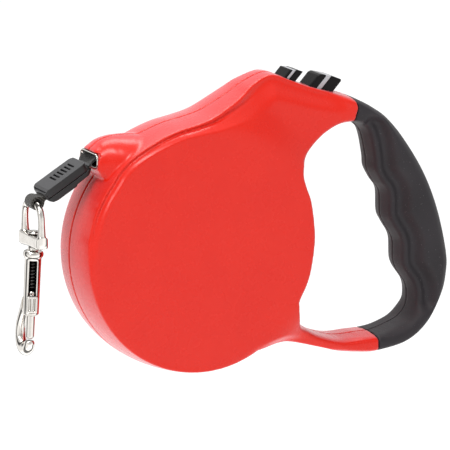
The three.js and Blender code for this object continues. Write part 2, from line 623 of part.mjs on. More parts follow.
/** An arch of wire through the strap loop, on a base with a hole for the swivel stem. */
function swivelEye() {
  const top = EYE_TOP;
  const base = (EYE_BASE[0] + EYE_BASE[1]) / 2;
  const path = new THREE.CurvePath();
  const knee = top - 6.5;
  const flat = 3; // half width of the arch's straight top
  const at = (y, z) => new THREE.Vector3(EYE_X, y, z);
  const corner = (side) => [at(side * EYE_HALF_WIDTH, knee), at(side * EYE_HALF_WIDTH, top - 1.8),
    at(side * (flat + 3.2), top), at(side * flat, top)];
  path.add(new THREE.LineCurve3(at(-EYE_HALF_WIDTH, base), at(-EYE_HALF_WIDTH, knee)));
  path.add(new THREE.CubicBezierCurve3(...corner(-1)));
  path.add(new THREE.LineCurve3(at(-flat, top), at(flat, top)));
  path.add(new THREE.CubicBezierCurve3(...corner(1).reverse()));
  path.add(new THREE.LineCurve3(at(EYE_HALF_WIDTH, knee), at(EYE_HALF_WIDTH, base)));
  const arch = solid(wire(path, EYE_WIRE, 28, 4));
  const halfWidth = EYE_HALF_WIDTH + EYE_WIRE;
  const bar = prism(polygon([[EYE_X - 3, EYE_BASE[0] + 1], [EYE_X - 2, EYE_BASE[0]],
    [EYE_X + 2, EYE_BASE[0]], [EYE_X + 3, EYE_BASE[0] + 1], [EYE_X + 3, EYE_BASE[1]],
    [EYE_X - 3, EYE_BASE[1]]]), -halfWidth, halfWidth);
  const hole = turnedZ([[0, 0], [STEM_RADIUS + 0.5, 0], [STEM_RADIUS + 0.5, 20], [0, 20]], 16)
    .translate([EYE_X, 0, 0]);
  return piece('swivel_eye', arch.add(bar).subtract(hole), CHROME);
}

const STEM_RADIUS = 1.8;

// ---- bolt snap, in its own frame: Z up along the bolt, X across, hook arm towards +Y ----

/** Barrel with collar, swivel stem and rivet head, and the hook below. */
function snapBody() {
  const collar = 4.65;
  const top = EYE_BASE[1] - COLLAR_TOP + 0.5;
  const profile = [[0, -BARREL_LENGTH], [BARREL_RADIUS, -BARREL_LENGTH], [BARREL_RADIUS, -3.4],
    [collar, -2.8], [collar, -0.6], [3, 0], [3, 1.4], [STEM_RADIUS, 1.6], [STEM_RADIUS, top],
    [3.2, top], [3.2, top + 0.8], [1.6, top + 1.6], [0, top + 1.6]];
  const bore = turnedZ([[0, -BARREL_LENGTH - 1], [BARREL_BORE, -BARREL_LENGTH - 1], [BARREL_BORE, -4],
    [0, -4]], 18);
  const slot = block([-1.7, -8, -BARREL_LENGTH + 6.5], [1.7, 0, -6]).rotate([0, 0, deg(KNOB_YAW)]);
  const at = (y, z) => new THREE.Vector3(0, y, z);
  const bottom = -BARREL_LENGTH;
  const path = new THREE.CatmullRomCurve3([at(4.2, bottom + 7), at(8.6, bottom + 1),
    at(HOOK_OFFSET, bottom - 7), at(HOOK_OFFSET - 1.4, bottom - 15), at(5.8, bottom - 18.8),
    at(1.3, bottom - 16.8), at(0, bottom - 12)], false, 'centripetal');
  const hook = solid(wire(path, HOOK_WIRE, 20, 4));
  return piece('snap_body', cutAway(turnedZ(profile, 24).add(hook), [bore, slot]), CHROME);
}

const deg = (angle) => THREE.MathUtils.radToDeg(angle);

/** The sliding bolt with its thumb knob. */
function snapBolt() {
  const tip = -BARREL_LENGTH - 11;
  const knobZ = -BARREL_LENGTH + 9;
  const rod = turnedZ([[0, tip], [BOLT_RADIUS - 0.5, tip], [BOLT_RADIUS, tip + 0.6],
    [BOLT_RADIUS, knobZ + 2.6], [0, knobZ + 2.6]], 18);
  const neck = block([-1.3, -4.6, knobZ - 1.8], [1.3, 0, knobZ + 1.8]);
  const cap = block([-2.2, -7, knobZ - 2.2], [2.2, -4.4, knobZ + 2.2]);
  return piece('snap_bolt', rod.add(neck.add(cap).rotate([0, 0, deg(KNOB_YAW)])), CHROME);
}

/** The light coil spring that drives the bolt shut. */
function boltSpring() {
  const [low, high] = [-BARREL_LENGTH + 12.6, -4.8];
  class Coil extends THREE.Curve {
    getPoint(t, target = new THREE.Vector3()) {
      const angle = t * 6 * 2 * Math.PI;
      return target.set(1.7 * Math.cos(angle), 1.7 * Math.sin(angle), low + t * (high - low));
    }
  }
  return mesh('bolt_spring', solidCheck(wire(new Coil(), 0.3, 48, 2)), STEEL);
}

function snap() {
  const group = new THREE.Group();
  group.position.set(EYE_X, 0, COLLAR_TOP);
  group.rotation.y = SNAP_LEAN;
  group.add(snapBody(), snapBolt(), boltSpring());
  return group;
}

// ---- assembly ----

const leash = new THREE.Group();
leash.position.set(...GRIP_CENTRE.map((value) => -value));
leash.add(
  ...casingHalves(),
  nozzleBezel(),
  ...caseScrews(),
  reelGroup(),
  ...brakeButton(),
  ...lockButton(),
  coilSpring('brake_spring', 5.95, 79, 87.2, 2, 5),
  coilSpring('lock_spring', -14.4, 77, 84.2, 1.15, 5),
  tapeRun(),
  tapeFrame([...clampHalves(), tapeTail(), strapPiece()]),
  swivelEye(),
  snap(),
);

const object = new THREE.Group();
object.add(leash);

export default object;
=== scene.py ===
import json
import math

import bpy
import numpy as np
from mathutils import Matrix, Vector


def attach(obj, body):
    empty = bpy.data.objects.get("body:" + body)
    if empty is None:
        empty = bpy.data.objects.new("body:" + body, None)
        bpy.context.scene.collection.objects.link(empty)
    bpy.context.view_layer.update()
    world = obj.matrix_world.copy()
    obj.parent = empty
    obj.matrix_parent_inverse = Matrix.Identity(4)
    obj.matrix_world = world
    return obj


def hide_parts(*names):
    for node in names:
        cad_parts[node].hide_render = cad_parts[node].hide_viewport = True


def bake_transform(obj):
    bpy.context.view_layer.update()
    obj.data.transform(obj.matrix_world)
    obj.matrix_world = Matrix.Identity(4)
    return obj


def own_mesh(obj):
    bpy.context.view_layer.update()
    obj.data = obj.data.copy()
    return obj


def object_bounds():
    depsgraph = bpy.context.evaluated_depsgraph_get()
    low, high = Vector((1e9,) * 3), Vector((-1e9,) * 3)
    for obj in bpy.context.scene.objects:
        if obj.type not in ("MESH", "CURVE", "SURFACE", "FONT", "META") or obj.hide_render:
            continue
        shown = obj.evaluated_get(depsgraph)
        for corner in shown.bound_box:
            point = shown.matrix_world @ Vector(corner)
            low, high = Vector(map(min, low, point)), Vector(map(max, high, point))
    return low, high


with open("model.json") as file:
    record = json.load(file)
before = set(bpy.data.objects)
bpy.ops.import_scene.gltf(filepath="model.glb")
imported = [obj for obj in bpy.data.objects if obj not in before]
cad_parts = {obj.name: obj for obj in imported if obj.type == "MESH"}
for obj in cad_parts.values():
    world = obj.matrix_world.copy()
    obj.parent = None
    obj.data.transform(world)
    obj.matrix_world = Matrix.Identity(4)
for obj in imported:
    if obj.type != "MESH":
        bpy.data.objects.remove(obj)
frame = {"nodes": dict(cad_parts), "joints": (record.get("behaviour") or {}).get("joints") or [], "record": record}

CAD_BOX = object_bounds()
MM = 0.001

joints = {joint["name"]: joint for joint in frame["joints"]}

# Every piece is drawn in millimetres in the leash's own drawing frame: the reel turns about X = 2, Z = 0,
# +X runs to the grip, +Z is up and the casing parts at Y = 0.
REEL_X = 2
ORIGIN = Vector(joints["reel_spin"]["pos_m"]) - Vector((REEL_X, 0, 0)) * MM


def at(x, y, z):
    """A place in the drawing frame, as a place in the row frame."""
    return ORIGIN + Vector((x, y, z)) * MM


DRAWING = Matrix.Translation(ORIGIN) @ Matrix.Scale(MM, 4)


# ---- solids from signed distances ----

def grid(low, high, step):
    """The x, y and z of every place in a box."""
    axes = [np.arange(a, b + step, step) for a, b in zip(low, high)]
    return np.meshgrid(*axes, indexing="ij")


CORNERS = [(i, j, k) for i in (0, 1) for j in (0, 1) for k in (0, 1)]
EDGES = [(a, b) for a in range(8) for b in range(a + 1, 8)
         if sum(p != q for p, q in zip(CORNERS[a], CORNERS[b])) == 1]


def skin(field, low, step):
    """The closed surface where the field is zero, as points and four-sided faces."""
    inside = field < 0
    n = np.array(field.shape) - 1
    count = sum(inside[i:i + n[0], j:j + n[1], k:k + n[2]].astype(np.int8) for i, j, k in CORNERS)
    cells = np.argwhere((count > 0) & (count < 8))
    number = np.zeros(n, int)
    number[tuple(cells.T)] = np.arange(len(cells))
    values = np.array([field[tuple((cells + corner).T)] for corner in CORNERS])
    total = np.zeros((len(cells), 3))
    hits = np.zeros(len(cells))
    for a, b in EDGES:
        crossed = (values[a] < 0) != (values[b] < 0)
        share = np.where(crossed, values[a] / np.where(crossed, values[a] - values[b], 1), 0)
        place = np.array(CORNERS[a]) + share[:, None] * (np.array(CORNERS[b]) - np.array(CORNERS[a]))
        total += np.where(crossed[:, None], place, 0)
        hits += crossed
    points = (cells + total / hits[:, None]) * step + np.array(low)
    return points, crossing_faces(inside, number)


def crossing_faces(inside, number):
    """One face for every grid edge that passes through the surface, through the four cells round it."""
    n = number.shape
    faces = []
    for axis in range(3):
        u, v = (axis + 1) % 3, (axis + 2) % 3
        first = [slice(None)] * 3
        second = [slice(None)] * 3
        first[axis], second[axis] = slice(0, -1), slice(1, None)
        change = inside[tuple(first)].astype(np.int8) - inside[tuple(second)].astype(np.int8)
        for sign in (1, -1):
            edges = np.argwhere(change == sign)
            edges = edges[(edges[:, u] > 0) & (edges[:, v] > 0) & (edges[:, u] < n[u]) & (edges[:, v] < n[v])]
            around = []
            for du, dv in ((1, 1), (0, 1), (0, 0), (1, 0)):
                cell = edges.copy()
                cell[:, u] -= du
                cell[:, v] -= dv
                around.append(number[tuple(cell.T)])
            quad = np.stack(around, axis=1)
            faces.append(quad if sign == 1 else quad[:, ::-1])
    return np.concatenate(faces)


def smooth_low(a, b, width):
    """The lower of two fields, with a fillet."""
    share = np.clip(0.5 + 0.5 * (b - a) / width, 0, 1)
    return b * (1 - share) + a * share - width * share * (1 - share)


def smooth_high(a, b, width):
    """The higher of two fields, with a rounded edge."""
    return -smooth_low(-a, -b, width)


def step_up(x, start, end):
    """Rises from 0 at start to 1 at end, gently at both ends."""
    t = np.clip((x - start) / (end - start), 0, 1)
    return t * t * t * (t * (6 * t - 15) + 10)


def follow(x, places, values):
    """A smooth curve through the values given at some places."""
    places, values = np.array(places, float), np.array(values, float)
    slopes = np.gradient(values, places)
    i = np.clip(np.searchsorted(places, x) - 1, 0, len(places) - 2)
    width = places[i + 1] - places[i]
    t = np.clip((x - places[i]) / width, 0, 1)
    return (values[i] * (1 + 2 * t) * (1 - t) ** 2 + values[i + 1] * t * t * (3 - 2 * t)
            + width * (slopes[i] * t * (1 - t) ** 2 - slopes[i + 1] * t * t * (1 - t)))


def eased(x, places, values, reach):
    """The curve of follow, averaged over some reach to either side."""
    return sum(follow(x + shift * reach, places, values) for shift in (-1, -0.6, -0.2, 0.2, 0.6, 1)) / 6


def spline(points, steps=8, closed=False):
    """Points along a smooth line through the given ones."""
    points = np.array(points, float)
    if closed:
        padded = np.vstack([points[-1], points, points[:2]])
    else:
        padded = np.vstack([2 * points[0] - points[1], points, 2 * points[-1] - points[-2]])
    t = np.linspace(0, 1, steps, endpoint=False)[:, None]
    rows = []
    for a, b, c, d in zip(padded, padded[1:], padded[2:], padded[3:]):
        rows.append(0.5 * (2 * b + (c - a) * t + (2 * a - 5 * b + 4 * c - d) * t ** 2
                           + (3 * b - a - 3 * c + d) * t ** 3))
    return np.vstack(rows if closed else rows + [points[-1:]])


def flat_distance(x, z, outline):
    """The distance in the X-Z plane from each place to a closed outline, negative inside it."""
    best = np.full(x.shape, 1e9)
    inside = np.zeros(x.shape, bool)
    outline = np.array(outline, float)
    for (ax, az), (bx, bz) in zip(outline, np.roll(outline, -1, axis=0)):
        ux, uz = bx - ax, bz - az
        t = np.clip(((x - ax) * ux + (z - az) * uz) / max(ux * ux + uz * uz, 1e-12), 0, 1)
        best = np.minimum(best, (x - ax - t * ux) ** 2 + (z - az - t * uz) ** 2)
        if uz:
            inside ^= ((az > z) != (bz > z)) & (x < ax + (z - az) * ux / uz)
    return np.where(inside, -1, 1) * np.sqrt(best)


def prism(x, z, outline):
    """The distance from an outline in the X-Z plane, the same at every Y."""
    return flat_distance(x[:, 0, :], z[:, 0, :], outline)[:, None, :]


def span(x, low, high):
    """The distance outside the slab from low to high."""
    return np.maximum(low - x, x - high)


def edged(first, second, radius):
    """Where two sets of straight walls meet, with all the edges between them rounded."""
    a, b = first + radius, second + radius
    return np.hypot(np.maximum(a, 0), np.maximum(b, 0)) + np.minimum(np.maximum(a, b), 0) - radius


def rounded_box(y, z, half_y, half_z, radius):
    """The distance outside a rectangle round the middle with rounded corners."""
    return edged(np.abs(y) - half_y, np.abs(z) - half_z, radius)


def mirrored(points, faces):
    """The same skin on the other side of the parting plane."""
    return points * np.array([1, -1, 1]), faces[:, ::-1]


RELAX_STEP = 0.4


def relaxed(points, faces, rounds):
    """The points of a skin with its small steps evened out and its size about kept."""
    edges = np.concatenate([faces[:, [0, 1]], faces[:, [1, 2]], faces[:, [2, 3]], faces[:, [3, 0]]])
    both = np.concatenate([edges, edges[:, ::-1]])
    count = np.bincount(both[:, 0], minlength=len(points))[:, None]
    for factor in [RELAX_STEP, -1.04 * RELAX_STEP] * rounds:
        mean = np.stack([np.bincount(both[:, 0], points[both[:, 1], k], len(points)) for k in range(3)], 1)
        points = points + factor * (mean / count - points)
    return points


def skinned(field, low, step, rounds=2):
    """The evened-out surface of a field."""
    points, faces = skin(field, low, step)
    return relaxed(points, faces, rounds), faces


def piece(name, points, faces, material, body, slot, nodes=(), matrix=DRAWING):
    """A new mesh piece, placed on its body in the row frame."""
    mesh = bpy.data.meshes.new(name)
    mesh.from_pydata([tuple(p) for p in points], [], [tuple(int(i) for i in f) for f in faces])
    mesh.transform(matrix)
    mesh.validate()
    for face in mesh.polygons:
        face.use_smooth = True
    mesh.materials.append(material)
    thing = bpy.data.objects.new(name, mesh)
    bpy.context.scene.collection.objects.link(thing)
    if body:
        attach(thing, body)
    if nodes:
        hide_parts(*nodes)
    return thing


# ---- materials ----

NOISE_ROUGHNESS = 0.55
SCRATCH_DEPTH = 0.00001
SCRATCH_STRETCH = (1, 1, 6)


class Nodes:
    """A short way to build one material's node tree."""

    def __init__(self, name):
        self.material = bpy.data.materials.new(name)
        self.material.use_nodes = True
        self.tree = self.material.node_tree
        self.shader = self.tree.nodes["Principled BSDF"]
        self.place = self.add("ShaderNodeTexCoord").outputs["Object"]

    def add(self, kind, links=None, **settings):
        """A node with its settings, and with links into its sockets."""
        node = self.tree.nodes.new(kind)
        for key, value in settings.items():
            setattr(node, key, value)
        for key, source in (links or {}).items():
            self.tree.links.new(source, node.inputs[key])
        return node

    def noise(self, scale, detail, coordinates=None):
        node = self.add("ShaderNodeTexNoise", {"Vector": coordinates or self.place})
        node.inputs["Scale"].default_value = scale
        node.inputs["Detail"].default_value = detail
        node.inputs["Roughness"].default_value = NOISE_ROUGHNESS
        return node.outputs["Fac"]

    def facing(self):
        """0 where a surface is seen head on, 1 where it is only glanced at."""
        return self.add("ShaderNodeLayerWeight").outputs["Facing"]

    def ramp(self, fac, stops):
        node = self.add("ShaderNodeValToRGB", {"Fac": fac})
        elements = node.color_ramp.elements
        while len(elements) < len(stops):
            elements.new(0.5)
        for element, (position, color) in zip(elements, stops):
            element.position = position
            element.color = (*color, 1)
        return node.outputs["Color"]

    def levels(self, fac, low, high, from_low, from_high):
        """A value carried from one range to another."""
        node = self.add("ShaderNodeMapRange", {"Value": fac})
        node.inputs["From Min"].default_value = from_low
        node.inputs["From Max"].default_value = from_high
        node.inputs["To Min"].default_value = low
        node.inputs["To Max"].default_value = high
        return node.outputs["Result"]

    def math(self, operation, a, b=0.0):
        node = self.add("ShaderNodeMath", operation=operation)
        for i, value in enumerate((a, b)):
            if isinstance(value, (int, float)):
                node.inputs[i].default_value = value
            else:
                self.tree.links.new(value, node.inputs[i])
        return node.outputs[0]

    def bump(self, height, distance, strength, normal=None):
        node = self.add("ShaderNodeBump", {"Height": height})
        node.inputs["Strength"].default_value = strength
        node.inputs["Distance"].default_value = distance
        if normal:
            self.tree.links.new(normal, node.inputs["Normal"])
        return node.outputs["Normal"]

    def mixed(self, factor, first, second):
        """One colour running into another, which is given as three numbers."""
        node = self.add("ShaderNodeMix", {0: factor, 6: first}, data_type="RGBA")
        node.inputs[7].default_value = (*second, 1)
        return node.outputs[2]

    def inside_bore(self, middle, along, radius, span):
        """1 nearer to a line than the radius within a span of it, 0 elsewhere."""
        away = self.add("ShaderNodeVectorMath", {0: self.place}, operation="SUBTRACT")
        away.inputs[1].default_value = middle
        sideways = self.add("ShaderNodeVectorMath", {0: away.outputs["Vector"]}, operation="CROSS_PRODUCT")
        sideways.inputs[1].default_value = along
        length = self.add("ShaderNodeVectorMath", {0: sideways.outputs["Vector"]}, operation="LENGTH")
        near = self.levels(length.outputs["Value"], 1, 0, radius, radius * 1.1)
        height = self.add("ShaderNodeVectorMath", {0: away.outputs["Vector"]}, operation="DOT_PRODUCT")
        height.inputs[1].default_value = along
        above = self.math("GREATER_THAN", height.outputs["Value"], span[0])
        below = self.math("LESS_THAN", height.outputs["Value"], span[1])
        return self.math("MULTIPLY", near, self.math("MULTIPLY", above, below))

    def multiplied(self, first, second):
        node = self.add("ShaderNodeMix", {6: first, 7: second}, data_type="RGBA", blend_type="MULTIPLY")
        node.inputs[0].default_value = 1.0
        return node.outputs[2]

    def finish(self, **sockets):
        for key, value in sockets.items():
            socket = self.shader.inputs[key.replace("_", " ")]
            if isinstance(value, (int, float, tuple)):
                socket.default_value = value
            else:
                self.tree.links.new(value, socket)
        return self.material


def plastic(name, low, high, roughness, grain=9000, depth=0.000012, specular=0.5, glance_sheen=None):
    """Moulded plastic: faint cloudiness, a fine moulded grain, uneven polish and, where asked, a painted sheen
    that pales the colour where the surface is only glanced at.
    """
    n = Nodes(name)
    color = n.ramp(n.noise(45, 4), [(0.35, low), (0.65, high)])
    # painted sheen: towards the outline the colour runs into a paler one, standing in for light glancing off the
    # surface
    if glance_sheen:
        color = n.mixed(n.levels(n.facing(), 0, 1, 0.36, 0.88), color, glance_sheen)
    polish = n.levels(n.noise(160, 6), roughness * 0.93, roughness * 1.08, 0.3, 0.7)
    normal = n.bump(n.noise(grain, 2), depth, 0.5, n.bump(n.noise(1500, 2), depth, 0.2))
    return n.finish(Base_Color=color, Roughness=polish, Normal=normal, Specular_IOR_Level=specular)


def rubber(name):
    """Soft-touch rubber: a velvety grain with a few light specks of dust."""
    n = Nodes(name)
    cloud = n.ramp(n.noise(60, 4), [(0.3, (0.017, 0.014, 0.0165)), (0.7, (0.028, 0.0235, 0.0275))])
    speck = n.levels(n.noise(1500, 1), 0, 1, 0.71, 0.78)
    color = n.mixed(n.math("MULTIPLY", speck, 0.35), cloud, (0.22, 0.2, 0.21))
    normal = n.bump(n.noise(2600, 3), 0.00003, 0.7)
    polish = n.levels(n.noise(120, 5), 0.5, 0.64, 0.3, 0.7)
    return n.finish(Base_Color=color, Roughness=polish, Normal=normal, Specular_IOR_Level=0.3)


def metal(name, low, high, roughness, reflection_bands=None, bore=None):
    """Metal with faint polishing marks and duller patches; where asked, a painted reflection that lightens and
    darkens the tone by how squarely it faces the viewer, and painted shade near black inside a bore.
    """
    n = Nodes(name)
    tone = n.ramp(n.noise(220, 4), [(0.35, low), (0.65, high)])
    # painted shade: inside the bore the tone runs into near black
    if bore:
        tone = n.mixed(n.inside_bore(*bore), tone, (0.012, 0.010, 0.009))
    # painted reflection: the tone is multiplied by light and dark steps by how squarely the surface faces the
    # viewer
    if reflection_bands:
        shade = n.ramp(n.facing(), [(place, (level, level * 0.97, level * 0.93)) for place, level in reflection_bands])
        tone = n.multiplied(tone, shade)
    stretched = n.add("ShaderNodeMapping", {"Vector": n.place})
    stretched.inputs["Scale"].default_value = SCRATCH_STRETCH
    marks = n.noise(2400, 3, stretched.outputs["Vector"])
    polish = n.levels(n.noise(300, 5), roughness * 0.7, roughness * 1.4, 0.3, 0.7)
    normal = n.bump(marks, SCRATCH_DEPTH, 0.35, n.bump(n.noise(500, 2), SCRATCH_DEPTH * 3, 0.3))
    return n.finish(Base_Color=tone, Metallic=1.0, Roughness=polish, Normal=normal)


def woven(name, low, high, along, across, pitch):
    """Webbing: yarns crossing along two directions, with fuzz."""
    n = Nodes(name)
    parts = []
    for direction, width in ((along, pitch), (across, pitch * 0.75)):
        dot = n.add("ShaderNodeVectorMath", {0: n.place}, operation="DOT_PRODUCT")
        dot.inputs[1].default_value = direction
        parts.append(n.math("MULTIPLY", dot.outputs["Value"], 2 * math.pi / width))
    wave = n.math("MULTIPLY", n.math("SINE", parts[0]), n.math("SINE", parts[1]))
    height = n.math("ADD", n.math("MULTIPLY", wave, 0.5), n.math("MULTIPLY", n.noise(5000, 3), 0.5))
    color = n.ramp(height, [(0.1, low), (0.8, high)])
    return n.finish(Base_Color=color, Roughness=n.levels(n.noise(900, 4), 0.72, 0.95, 0.3, 0.7),
                    Normal=n.bump(height, 0.00016, 0.9), Sheen_Weight=0.3, Sheen_Roughness=0.4)


# painted sheen: the red plastic pales to pink where it is seen at a slant, standing in for the light it reflects
# there
RED = plastic("red_plastic", (0.705, 0.0100, 0.0008), (0.728, 0.0122, 0.0016), 0.27, specular=0.40,
              glance_sheen=(0.68, 0.125, 0.14))
RUBBER = rubber("grip_rubber")
BLACK = plastic("black_plastic", (0.0035, 0.0032, 0.0035), (0.007, 0.006, 0.0065), 0.26, depth=0.00002,
                specular=0.14)
STRIPE = plastic("stripe_plastic", (0.40, 0.40, 0.42), (0.47, 0.47, 0.49), 0.42)
NYLON = plastic("reel_nylon", (0.62, 0.59, 0.51), (0.70, 0.67, 0.60), 0.5)
# painted sheen: the clamp's black pales to grey where it is seen at a slant, standing in for the light it reflects
# there
CLAMP_BLACK = plastic("clamp_plastic", (0.009, 0.0085, 0.009), (0.016, 0.015, 0.0155), 0.38, grain=3800,
                      depth=0.00004, specular=0.4, glance_sheen=(0.10, 0.10, 0.105))
# the tape's yarns run along the pull line, the strap's more steeply
WEBBING = woven("webbing", (0.006, 0.005, 0.005), (0.045, 0.041, 0.038), (0.857, 0, 0.515), (0, 1, 0), 0.0011)
STRAP = woven("strap_webbing", (0.010, 0.009, 0.007), (0.085, 0.078, 0.066), (0.6, 0, 0.8), (0, 1, 0), 0.0012)
CHROME_TONES = (0.84, 0.83, 0.81), (0.95, 0.94, 0.92)
CHROME_ROUGHNESS = 0.11
# painted reflection: how bright the plating is painted, from where it faces the viewer to its outline, in light
# and dark rings standing in for the surroundings it mirrors
CHROME_REFLECTION_BANDS = [(0, 0.74), (0.10, 0.98), (0.22, 1.0), (0.27, 0.10), (0.40, 0.16), (0.46, 0.95), (0.68, 0.90),
                (0.75, 0.10), (1.0, 0.22)]
CHROME = metal("chrome", *CHROME_TONES, CHROME_ROUGHNESS, CHROME_REFLECTION_BANDS)
# painted shade: the bolt's spring lies in the barrel's slot, and its steel is coloured far darker than the other
# steel for the shade there
SHADED_STEEL = metal("shaded_steel", (0.05, 0.048, 0.045), (0.12, 0.115, 0.11), 0.35)
STEEL = metal("steel", (0.36, 0.36, 0.38), (0.5, 0.5, 0.52), 0.32)

# ---- casing ----

HALF_GAP = 0.2  # from the parting plane to each half
LIP_GAP = 0.04  # from the far half's inner lip to the near half
LIP_DEPTH = 1.2  # how deep in the seam the lip starts
DISC_RADIUS = 59.9
HANDLE_HALF = 14
FRONT_CROWN, REAR_CROWN = 0.0046, 0.0068  # how fast the rim draws in away from the parting plane, per mm
MOUTH_Z = 45.2
WALL = 2
REEL_ROOM_RADIUS, REEL_ROOM_HALF = 53, 19.5
POST_RADIUS, POST_START = 7, 11.4
NECK_HALF, CHANNEL_HALF, WELL_HALF, CORE_HALF = 11, 10.5, 6.35, 6
CORE_CLEARANCE = 0.3  # between the grip and the casing's core
CASING_SCREWS = [(-36, -38.2), (40, -38.2), (-41.3, 32), (20, 57.5)]
GRIP_SCREW = (124.2, -24)
BOSS_RADIUS, SCREW_BORE, SCREW_POCKET = 3.2, 1.8, 3.1

PRESS = math.radians(47.5)
PRESS_OUT = np.array([math.cos(PRESS), math.sin(PRESS)])
PRESS_ACROSS = np.array([math.sin(PRESS), -math.cos(PRESS)])


def press_outline(points):
    """An outline given along the buttons' press line from the reel axis, and across it."""
    return [np.array([REEL_X, 0]) + out * PRESS_OUT + across * PRESS_ACROSS for out, across in points]


DISC_ARC = [(REEL_X + DISC_RADIUS * math.cos(math.radians(a)), DISC_RADIUS * math.sin(math.radians(a)))
            for a in range(146, 300, 3)]
LOWER_ARM = [(32.4, -52.2), (42.5, -50.2), (50, -50.5), (65.5, -54.8), (78.3, -58.5), (89.5, -60.3),
             (98, -60.3)]
GRIP_BACK = [(113.4, -57.2), (125.4, -48.8), (133.6, -36.2), (136.5, -25.4), (136.4, -14.2), (131.4, 7.1),
             (123.7, 25.9), (112.7, 43.3), (103.7, 53.6), (96.4, 58.8)]
BRIDGE_TOP = [(92.3, 61.1), (84, 65), (73.3, 68.3), (62.5, 71.6), (52.6, 75.5), (42.5, 79.0), (32, 75.7),
              (25.5, 71.8), (18.7, 68.1)]
NOZZLE_TOP = [(8.7, 63.3), (-1.2, 60.8), (-10.8, 58.9), (-22.2, 54.8), (-34, 48.6), (-41, 42.6),
              (-45.5, 36.3)]
CASING_OUTLINE = np.vstack([DISC_ARC, spline(LOWER_ARM + GRIP_BACK + BRIDGE_TOP + NOZZLE_TOP, 6)])

FINGER_OPENING = spline([
    (79.9, 54.6), (74, 53.5), (67.8, 50.4), (63.7, 47.2), (60.1, 43.9), (56.5, 40.5), (53.9, 37.1),
    (52.9, 31.4), (54.5, 25.4), (57.1, 17.5), (58.2, 2), (56.1, -12.9), (54, -20.5), (50.9, -27.9),
    (51, -31.5), (53.9, -40.4), (60.2, -44.7), (67.7, -48.8), (78.3, -52), (89.5, -52.4), (98.9, -52),
    (109.2, -48.9), (114.4, -46.2), (117.8, -42.2), (119, -37), (118, -29.9), (112, -20.2), (111, -7.9),
    (106.7, -0.1), (104.4, 5.1), (103.8, 16.1), (100.2, 21.9), (97.4, 27.8), (97.1, 33.4), (95.4, 42.8),
    (93, 48.6), (87.5, 53.4)], 6, True)

SEAM = [(97, -70), (160, -70), (160, 90), (80, 90), (84, 66), (85.5, 60), (83, 52), (90, 30), (97, -46)]
CORE = [(78, 63), (90, 59.5), (101, 49), (113, 30), (124, 5), (129, -18), (127.5, -34), (119, -45),
        (108, -51.6), (90, -55.6), (90, -53.9), (108, -49.9), (115.5, -44.4), (120.4, -34), (118.6, -18),
        (114, 0), (106.5, 16), (101.5, 34), (99, 46.5), (89.5, 56.3), (78, 57.8)]
HUMP_FOOT = [(-60, 33.5), (-47.7, 33.5), (-43.8, 36.5), (-36, 44.2), (-32.5, 47.3), (-27, 51.5), (-14, 60),
             (-14, 70), (-60, 70)]
NECK_ROOM = [(10, 46), (38, 30), (49, 36.5), (56.5, 45.5), (66, 53), (75, 57.4), (77, 60.5), (70.5, 64.8),
             (52, 71.8), (43, 75.2), (33.5, 72.2), (23, 66.0), (12, 60.0)]
TAPE_CHANNEL = [(-42, 39.4), (-39, 35), (-20, 40), (0, 44), (0, 50.5), (-30, 51.3), (-38, 50.2), (-42, 49)]
LOCK_WELL = [(81.4, -16.05), (120, -16.05), (120, -9.75), (81.4, -9.75)]
BRAKE_WELL = [(83.8, -2.75), (120, -2.75), (120, 9.05), (83.8, 9.05)]
BRAKE_SEAT = [(68, 3.4), (78.2, 3.4), (78.2, 8.6), (68, 8.6)]
LOCK_SEAT = [(72.5, -16.5), (76.2, -16.5), (76.2, -12.4), (72.5, -12.4)]

# half thickness of the grip at some depths in from its finger edge
SCOOP_DEPTHS = [0, 0.4, 1.2, 2.4, 3.8, 5.4, 6.8, 8.6, 10.4, 12.4, 15, 40]
SCOOP_HEIGHTS = [0, 4.2, 7.0, 8.7, 9.0, 8.2, 8.4, 10.4, 12.6, 13.8, 14, 14]


def rounded(depth, width, height, power=2.4):
    """The height of a rounded edge at some depth inside it."""
    left = np.clip(1 - np.maximum(depth, 0) / width, 0, 1)
    return height * np.maximum(1 - left ** power, 0) ** (1 / power)


def handle_height(x, z, outer, inner):
    """Half thickness of the handle, from the depths inside its outer and its finger edge."""
    scooped = step_up(z, -47, -36) * step_up(-z, -58, -50) * step_up(x, 88, 93)
    reach = 3.4 + 5.8 * step_up(z, -62, -24) * step_up(x, 84, 114)
    scoop = eased(inner, SCOOP_DEPTHS, SCOOP_HEIGHTS, 0.9)
    plain = rounded(inner, 3.4 + 3.2 * step_up(x, 94, 108), HANDLE_HALF)
    finger = plain + (scoop - plain) * scooped
    return smooth_high(smooth_low(rounded(outer, reach, HANDLE_HALF), finger, 1.0), 0.0, 0.2)


def rim_height(x, high_side):
    """Half thickness along the rim; it narrows towards the bridge, above all on the high side."""
    top = follow(x, [-60, -20, -8, 3, 14.5, 24, 31, 37.5, 50, 70, 90],
                 [18.8, 18.2, 17.6, 17, 15.6, 13.8, 10.8, 8.6, 8.4, 9.5, 10])
    low = follow(x, [-60, 20, 32, 44, 56, 80], [20.5, 20.4, 19.2, 16.2, 14, 13.4])
    return low + (top - low) * high_side


